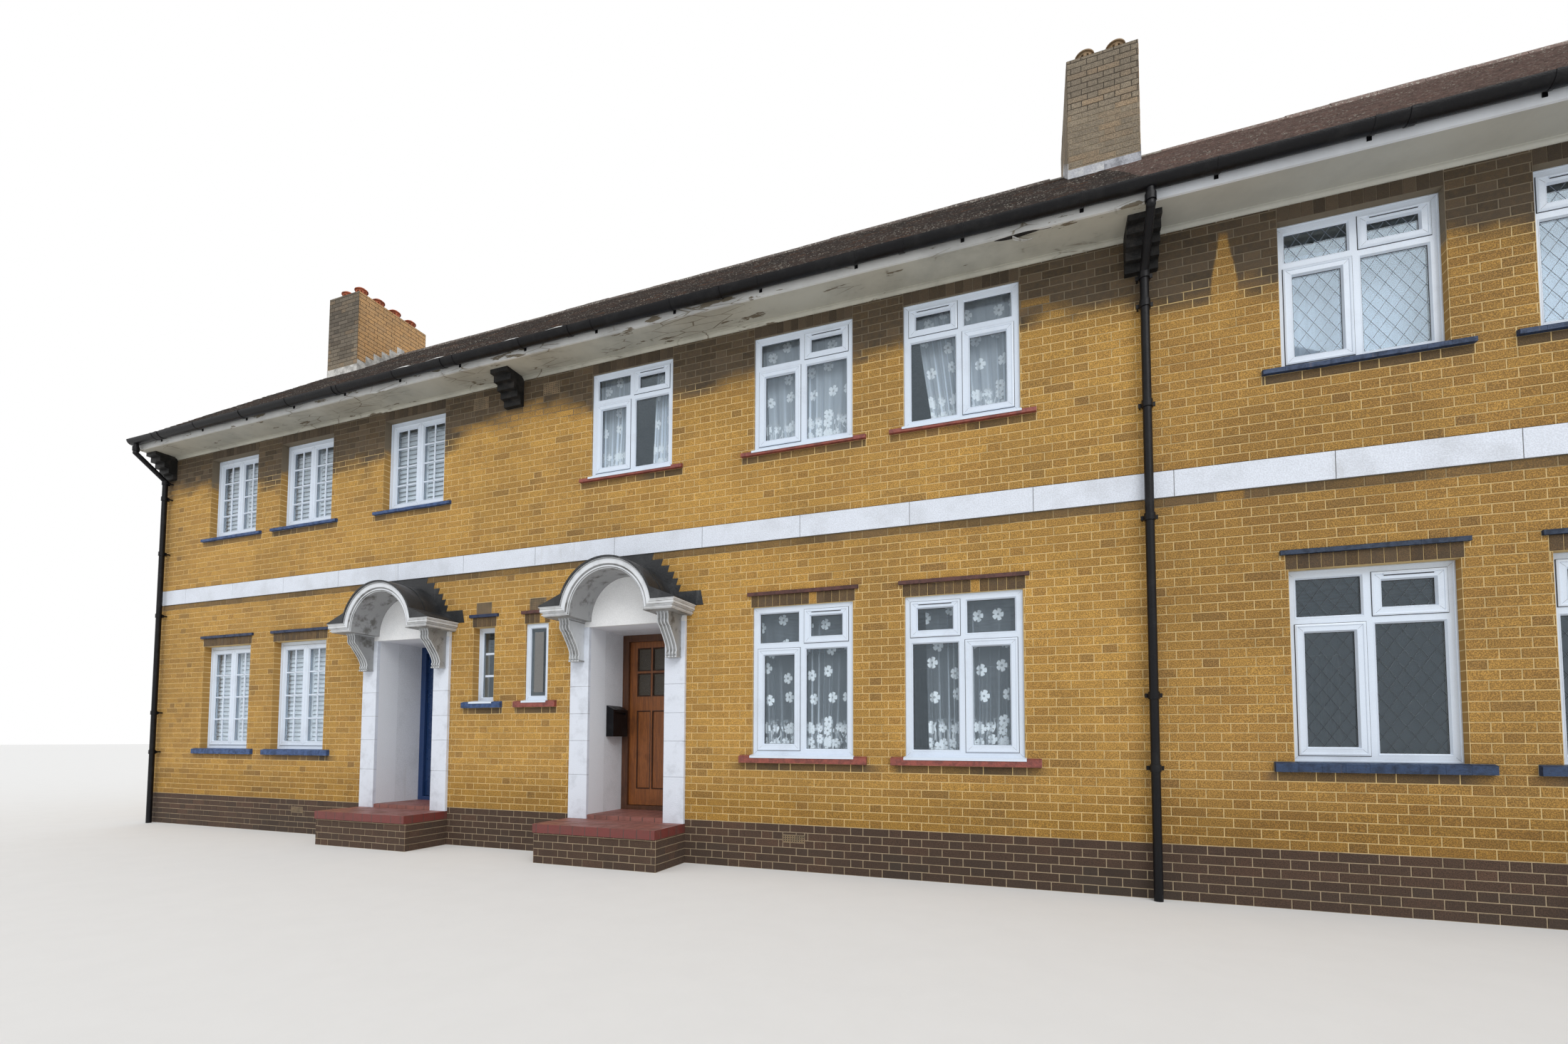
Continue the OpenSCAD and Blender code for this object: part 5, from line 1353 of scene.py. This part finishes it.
# %% Flowers in the lace
flower, given, out = group("lace_flower", ["Vector", "Scale", "Size"], ["Mask"])
centre = add(flower, "TexVoronoi", {"Vector": given["Vector"], "Scale": given["Scale"], "Randomness": 0.55},
             voronoi_dimensions="2D").outputs["Position"]
away = parts_of(add(flower, "VectorMath", {0: given["Vector"], 1: centre}, operation="SUBTRACT").outputs[0])
flat = add(flower, "CombineXYZ", {0: away["X"], 1: away["Y"]}).outputs[0]
reach = add(flower, "VectorMath", {0: flat}, operation="LENGTH").outputs["Value"]
turn = times(math_by("ARCTAN2")(away["Y"], away["X"]), 2.5)
petal = positive(math_by("COSINE")(turn))
edge = times(given["Size"], ramp(petal, 0.0, 0.65, 0.58, 1.0))
heart = ramp(over(reach, given["Size"]), 0.16, 0.24, 0.45, 1.0)
feed(out[0], times(ramp(minus(edge, reach), 0.0, 0.004), heart))

# %% Lace and plain net
lace, tree, shader, where = start_material("net_lace")
cloth = add(tree, "Attribute", attribute_name="cloth").outputs["Vector"]
at = parts_of(cloth)
big = use(flower, cloth, Scale=3.9, Size=0.060)[0]
small = use(flower, cloth, Scale=8.5, Size=0.050)[0]
scroll = add(tree, "TexWave", {"Vector": cloth, "Scale": 5.0, "Distortion": 14.0, "Detail": 1.0})
scroll = ramp(scroll.outputs["Fac"], 0.86, 0.94)
hem = ramp(at["Y"], 0.26, 0.40, 1.0, 0.0)
woven = larger(big, larger(times(small, hem), times(scroll, hem)))
upstairs = ramp(parts_of(where)["Z"], 3.0, 4.0, 0.0, 0.40)
cover = larger(plus(ramp(at["Z"], 1.0, 2.5, 0.125, 0.80), upstairs), times(woven, 0.96))
threads = mottled(cloth, 700.0, 0.3, 0.7)
surface(shader, blend(woven, (0.80, 0.85, 0.93), (0.95, 0.96, 0.98)), 0.9, threads, 0.0003,
        Alpha=times(cover, ramp(threads, 0.0, 1.0, 0.85, 1.1)))

plain_net, tree, shader, where = start_material("plain_net")
cloth = add(tree, "Attribute", attribute_name="cloth").outputs["Vector"]
threads = mottled(cloth, 500.0, 0.3, 0.7)
# The net's blue-grey is partly its own colour and partly painted reflection of the sky in the glass before
# it.
surface(shader, blend(threads, (0.350, 0.410, 0.500), (0.385, 0.445, 0.535)), 0.85, threads, 0.0001,
        Alpha=ramp(parts_of(cloth)["Z"], 1.0, 2.4, 0.88, 0.97))


# %% Hung sheets
def hung(name, material, w, span, gaps, y, folds, deep, slant=(0.0, 0.0), seed=0, cells=(150, 20)):
    """A hung sheet over s across and t down, both from 0 to 1. Phase f = folds (s + 0.03 sin(9 s + seed)).
    x = edges blended by s, each moved by its slant times t, z = head - (head - foot) t, and
    y = y + deep (0.5 + 0.5 t) (sin 2 pi f + 0.35 sin(4.7 pi f + seed)) / 1.35."""
    x0, x1 = w.x + span[0], w.x + span[1]
    foot, head = w.foot + gaps[0], w.head - gaps[1]
    s, t = np.meshgrid(np.linspace(0, 1, cells[0] + 1), np.linspace(0, 1, cells[1] + 1))
    f = folds * (s + 0.03 * np.sin(9 * s + seed))
    wave = (np.sin(2 * np.pi * f) + 0.35 * np.sin(4.7 * np.pi * f + seed)) / 1.35
    xs = (x0 + slant[0] * t) * (1 - s) + (x1 + slant[1] * t) * s
    zs = head - (head - foot) * t
    points = np.stack([xs, y + deep * (0.5 + 0.5 * t) * wave, zs], -1)
    step = np.linalg.norm(np.diff(points, axis=1), axis=2)
    flat = np.concatenate([np.zeros((cells[1] + 1, 1)), np.cumsum(step, 1)], 1)
    width = flat[:, -1].mean()
    flat = flat * (width / flat[:, -1:])
    dx = np.maximum(np.abs(np.diff(xs, axis=1)), 1e-4)
    crowded = np.pad(step / dx, ((0, 0), (0, 1)), mode="edge")
    own = np.stack([flat, zs - foot, crowded], -1)
    i, j = np.meshgrid(np.arange(cells[1]), np.arange(cells[0]), indexing="ij")
    a = i * (cells[0] + 1) + j
    quads = np.stack([a, a + cells[0] + 1, a + cells[0] + 2, a + 1], -1).reshape(-1, 4)
    thing = piece(name, (points, quads), material, values={"cloth": own}, smooth=True)


# The nets of the middle house's windows, by number: where each starts and ends, and how its edges slant.
DRAWN = {6: [(-0.50, -0.02, (0.02, -0.10)), (0.24, 0.50, (-0.05, 0.0))],
         7: [(-0.50, 0.50, (0.06, -0.05))],
         8: [(-0.50, 0.50, (0.06, -0.05))],
         9: [(-0.36, 0.50, (0.03, -0.03))],
         10: [(-0.44, 0.50, (0.17, 0.0))]}
for i, drawn in DRAWN.items():
    w = windows[i]
    y = FRONT + w.reveal + FRAME_DEEP + 0.070
    for part, (a, b, lean) in enumerate(drawn):
        ending, folds, across = ("", 9, 150) if len(drawn) == 1 else (f"_{part}", 6, 110)
        hung(f"net_curtain_{i}{ending}", lace, w, (a, b), (0.01, 0.012), y, folds, 0.022, lean, i + part,
             (across, 20))
for i, w in enumerate(windows):
    if w.house == "right" and w.upper:
        y = FRONT + w.reveal + FRAME_DEEP + 0.140
        hung(f"plain_net_{i}", plain_net, w, (-0.52, 0.52), (0.01, w.head - 5.375), y, 11, 0.006, seed=i)
for i, w in enumerate(rear_windows):
    for part, span in enumerate(((-0.52, 0.005), (-0.005, 0.52)) if w.house != "left" else ()):
        y = REAR - REAR_REVEAL - FRAME_DEEP - 0.075 - 0.012 * part
        hung(f"lined_curtain_{i}_{part}", lined, w, span, (0.01, 0.01), y, 6, 0.020, seed=i + part,
             cells=(96, 6))

# %% [markdown]
# ## Louvred shutters of the left house
# Behind its windows the left house has white shutters with sloping slats. A slat is a thin blade turned until
# it nearly meets the next one, and a frame of stiles and rails holds the blades.

# %% Shutters
PITCH_OF_SLATS = 0.062
slats, stiles = [], []
for rows, face, sign in ((windows, FRONT, 1), (rear_windows, REAR, -1)):
    for w in rows:
        if w.house != "left" or w.kind == "narrow":
            continue
        back = face + sign * (w.reveal + FRAME_DEEP + 0.045)
        count = int((w.head - w.foot - 0.12) / PITCH_OF_SLATS)
        middles = w.foot + 0.06 + PITCH_OF_SLATS * (np.arange(count) + 0.5)
        lean = math.radians(70) * sign
        along, across = np.array([0.031, -0.031, -0.031, 0.031]), np.array([-0.004, -0.004, 0.004, 0.004])
        section = np.stack([back + along * math.cos(lean) - across * math.sin(lean),
                            along * math.sin(lean) + across * math.cos(lean)], -1)
        sections = np.broadcast_to(section, (count, 4, 2)).copy()
        sections[..., 1] += middles[:, None]
        for c, d in ((-0.480, -0.052), (0.052, 0.480)):
            slats.append(extruded(sections, np.full(count, w.x + c), np.full(count, w.x + d)))
        side = ((0, back - sign * 0.022, 0), (sign, 0, 0), (0, -sign, 0))
        cells = [(sign * w.x + c, sign * w.x + d, w.foot + 0.008, w.head - 0.008)
                 for c, d in ((-0.523, -0.001), (0.001, 0.523))]
        stiles.append(framed(side, cells, [(0.0, -0.044), (0.0, 0.0), (0.046, 0.0), (0.050, -0.004),
                                           (0.050, -0.044)]))
piece("louvred_shutters", joined(*slats, *stiles), shutter_paint)

# %% [markdown]
# ## Small window furniture
# The top lights carry a ventilator: a slot in the bar under a little hood, where a thin black plate is
# painted shade for the opening. Without it the frames look like toys, though it is only 6 mm deep.

# %% Ventilators
for side, rows, flip in WALLS:
    fours = [w for w in rows if w.kind.startswith("four")]
    tops = np.array([(*sorted((x0 * flip, x1 * flip)), z1, -w.reveal) for w in fours
                     for x0, x1, z0, z1, sash in w.lights if sash and z1 > w.head - 0.1])
    for name, material, edge, low, high, back, stand, arris in (
            ("hoods", plastic_white, 0.065, 0.020, 0.008, 0.0115, 0.0075, 0.003),
            ("slots", black_rubber_and_painted_shade, 0.070, 0.027, 0.0195, 0.0062, 0.0012, 0.0005)):
        cells = np.stack([tops[:, 0] + edge, tops[:, 1] - edge, tops[:, 2] - low, tops[:, 2] - high], 1)
        shape = blocks(side, cells, 0, stand, arris, base=tops[:, 3] + back)
        piece(f"ventilator_{name}_{side}", shape, material)

# %% [markdown]
# ## Air bricks
# An air brick is a clay block with rows of square holes. The frame has the block. A grid of clay bars in
# front of its face, which is painted near black as the shade inside the holes, gives the holes their depth.

# %% Air brick grids
COLUMNS = 9
cells = []
for x, z, tall in VENTS:
    rows = 6 if tall > 0.1 else 3
    for i in range(COLUMNS + 1):
        u = x - 0.113 + 0.226 * i / COLUMNS
        cells.append((u - 0.006, u + 0.006, z + 0.002, z + tall - 0.002))
    for j in range(rows + 1):
        v = z + 0.006 + (tall - 0.012) * j / rows
        cells.append((x - 0.114, x + 0.114, v - 0.005, v + 0.005))
piece("air_brick_grids", blocks("front", cells, 0.0, 0.005, 0.0015), air_clay)

# %% [markdown]
# ## White cills
# The windows of the middle house, and the narrow one beside it, stand on a thin white cill that laps over the
# front of the tiles, so the tiles show their full height only at their two ends.

# %% Cills
with_cill = [w for w in windows if w.house == "middle" or (w.house == "left" and w.kind == "narrow")]
profile = [(-0.0475, -0.026), (-0.0475, -0.004), (0.020, 0.012), (0.020, 0.002), (-0.0435, -0.009),
           (-0.0435, -0.026)]
sections = np.array([[(FRONT + y, w.foot + z) for y, z in profile] for w in with_cill])
middle, half = np.array([(w.x, w.half) for w in with_cill]).T
shape = extruded(sections, middle - half - 0.012, middle + half + 0.012)
piece("plastic_cills", shape, plastic_white)

# %% [markdown]
# ## Beads on the doors
# A panelled door is a grid of stiles and rails with thin panels between them, held by beads. The panels are
# in the frame already. The beads are mitred rings, on the middle door darker than its timber. Those of the
# left and the middle door ride on their door so that they turn with it, those of the right one on the root.

# %% Door beads
PANEL = 0.1827
SECTION = [(-0.004, -0.001), (-0.004, 0.0025), (0.003, 0.0040), (0.010, -0.006), (0.010, -0.0105),
           (0.0, -0.0105)]
for x, house, body, material in (
        (PORCHES[0], "left", "door_left", blue_door), (PORCHES[1], "middle", "door_middle", dark_timber),
        (PORCHES[2], "right", "root", plastic_white)):
    starts = x - 0.304 + np.arange(3) * (PANEL + 0.030)
    cells = [(a, a + PANEL, 0.708, 1.646) for a in starts]
    cells += [(a, a + PANEL, z, z + 0.278) for a in starts for z in (1.824, 2.132)]
    shape = framed(((0, FRONT + 0.680, 0), (1, 0, 0), (0, -1, 0)), cells, SECTION)
    piece(f"door_beads_{house}", shape, material, body)

# %% [markdown]
# ## Gutter unions, and worn edges of the eaves
# The gutter is put together from lengths of about 1.8 m, and each joint has a collar. Two white strips have
# slipped onto the edge tiles, one hangs from the fascia, and the soffit has torn open at one place.

# %% Eaves details
low = np.array([x for x in np.arange(-9.6, 10.0, 1.83) if abs(x - PARTY[2]) > 0.3])
unions = [half_pipes(low, low + 0.055, y, 5.802, 0.0765, 0.068, 180, 360)
          for y in (FRONT - 0.465, REAR + 0.465)]
piece("gutter_unions", joined(*unions), cast_black)


def route(*ways):
    """A route of points from its x, y and z, each an array or a plain number."""
    return np.stack(np.broadcast_arrays(*ways), -1)


slope_y, slope_z = math.cos(PITCH), math.sin(PITCH)
strips = []
s = np.linspace(0, 1, 9)
for x0, x1, up in ((-4.98, -4.22, 0.035), (-3.30, -2.42, 0.030)):
    slipped = route(x0 + (x1 - x0) * s, FRONT - TILE_EDGE + 0.045 + 0.05 * s * slope_y,
                    TILE_FOOT + up + 0.045 * math.tan(PITCH) + 0.05 * s * slope_z + 0.012 * np.sin(9 * s))
    strips.append(ribbon(slipped, (0.0, 0.075 * slope_y, 0.075 * slope_z), 0.004))
s = np.linspace(0, 1, 11)
hang = route(-5.36 + 0.62 * s, FRONT - 0.398 - 0.012 * np.sin(3 * s),
             5.700 - 0.055 * np.sin(np.pi * s) ** 0.8 * (1 - s))
strips.append(ribbon(hang, (0.0, 0.004, 0.030), 0.004))
curl = route(2.36 + 0.17 * s, FRONT - 0.352 - 0.012 * s, EAVES - 0.002 - 0.065 * np.sin(1.9 * s) + 0.01 * s)
strips.append(ribbon(curl, route(0, 0.050 - 0.038 * s, 0.012 * s), 0.0025))
piece("slipped_white_strips", joined(*strips), fascia_paint)
# The tear is a near-black strip on the soffit: painted shade for the dark opening.
tear = route(2.208 + 0.464 * s, FRONT - 0.366 + 0.006 * np.sin(7 * s), EAVES - 0.0012)
across = 0.003 + 0.040 * np.sin(np.pi * np.minimum(s * 1.25, 1.0)) ** 0.7
piece("soffit_tear", ribbon(tear, route(0, across, 0), 0.0024), dark_hole)

# %% [markdown]
# ## Camera, light and floor
# The camera stands in front of the row and looks left and slightly up through a wide lens. Its place and lens
# come from the brick courses: their height in the photo at many points fits only one camera. The lens is
# shifted up, as the photo was cropped that way. The light is plain: an even white sky and a broad soft sun
# from the front.

# %% Camera
PHOTO = (2200, 1465)
FOCUS = 930.0
HORIZON_ROW = 992.25
yaw, tilt, roll = 0.3546, 0.0485, 0.0035
right = np.array([math.cos(yaw), math.sin(yaw), 0.0])
ahead = np.array([-math.sin(yaw) * math.cos(tilt), math.cos(yaw) * math.cos(tilt), math.sin(tilt)])
up = np.cross(right, ahead)
right, up = right * math.cos(roll) + up * math.sin(roll), up * math.cos(roll) - right * math.sin(roll)
lens = bpy.data.cameras.new("camera")
lens.sensor_width = 36.0
lens.lens = FOCUS / PHOTO[0] * lens.sensor_width
lens.shift_y = (HORIZON_ROW - PHOTO[1] / 2) / PHOTO[0]
lens.clip_end = 500.0
camera = bpy.data.objects.new("camera", lens)
bpy.context.scene.collection.objects.link(camera)
turn = Matrix([[*map(float, row)] for row in np.column_stack([right, up, -ahead])]).to_4x4()
camera.matrix_world = Matrix.Translation((2.440, FRONT - 6.276, 1.307)) @ turn
bpy.context.scene.camera = camera
print("lens", round(lens.lens, 2), "shift", round(lens.shift_y, 4))

# %% Light
world = bpy.data.worlds.new("sky")
bpy.context.scene.world = world
world.use_nodes = True
tree = world.node_tree
tree.nodes.clear()
ray = add(tree, "LightPath").outputs
seen = larger(ray["Is Camera Ray"], larger(ray["Is Glossy Ray"], ray["Is Transmission Ray"]))
sky = add(tree, "Background", {"Color": (1.0, 1.0, 1.0), "Strength": ramp(seen, 0.0, 1.0, 0.80, 1.0)})
feed(add(tree, "OutputWorld").inputs[0], sky.outputs[0])

sun = bpy.data.lights.new("sun", "SUN")
sun.energy = 1.3
sun.angle = math.radians(40)
sun_lamp = bpy.data.objects.new("sun", sun)
bpy.context.scene.collection.objects.link(sun_lamp)
sun_lamp.rotation_euler = (math.radians(48), 0, math.radians(32))

# %% Floor
pale_floor, tree, shader, where = start_material("pale_floor")
surface(shader, blend(mottled(where, 3.0, 0.2, 0.8), (0.79, 0.79, 0.785), (0.77, 0.77, 0.765)), 0.9)
reach = 150.0
floor_mesh = bpy.data.meshes.new("floor")
floor_mesh.from_pydata([(-reach, -reach, 0), (reach, -reach, 0), (reach, reach, 0), (-reach, reach, 0)], [],
                       [(0, 1, 2, 3)])
floor_mesh.materials.append(pale_floor)
floor = bpy.data.objects.new("floor", floor_mesh)
bpy.context.scene.collection.objects.link(floor)
floor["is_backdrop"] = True
bpy.context.scene.view_settings.view_transform = "Standard"

# %% Sizes, and the end
low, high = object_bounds()
print("visual box", np.round(low, 3), np.round(high, 3))
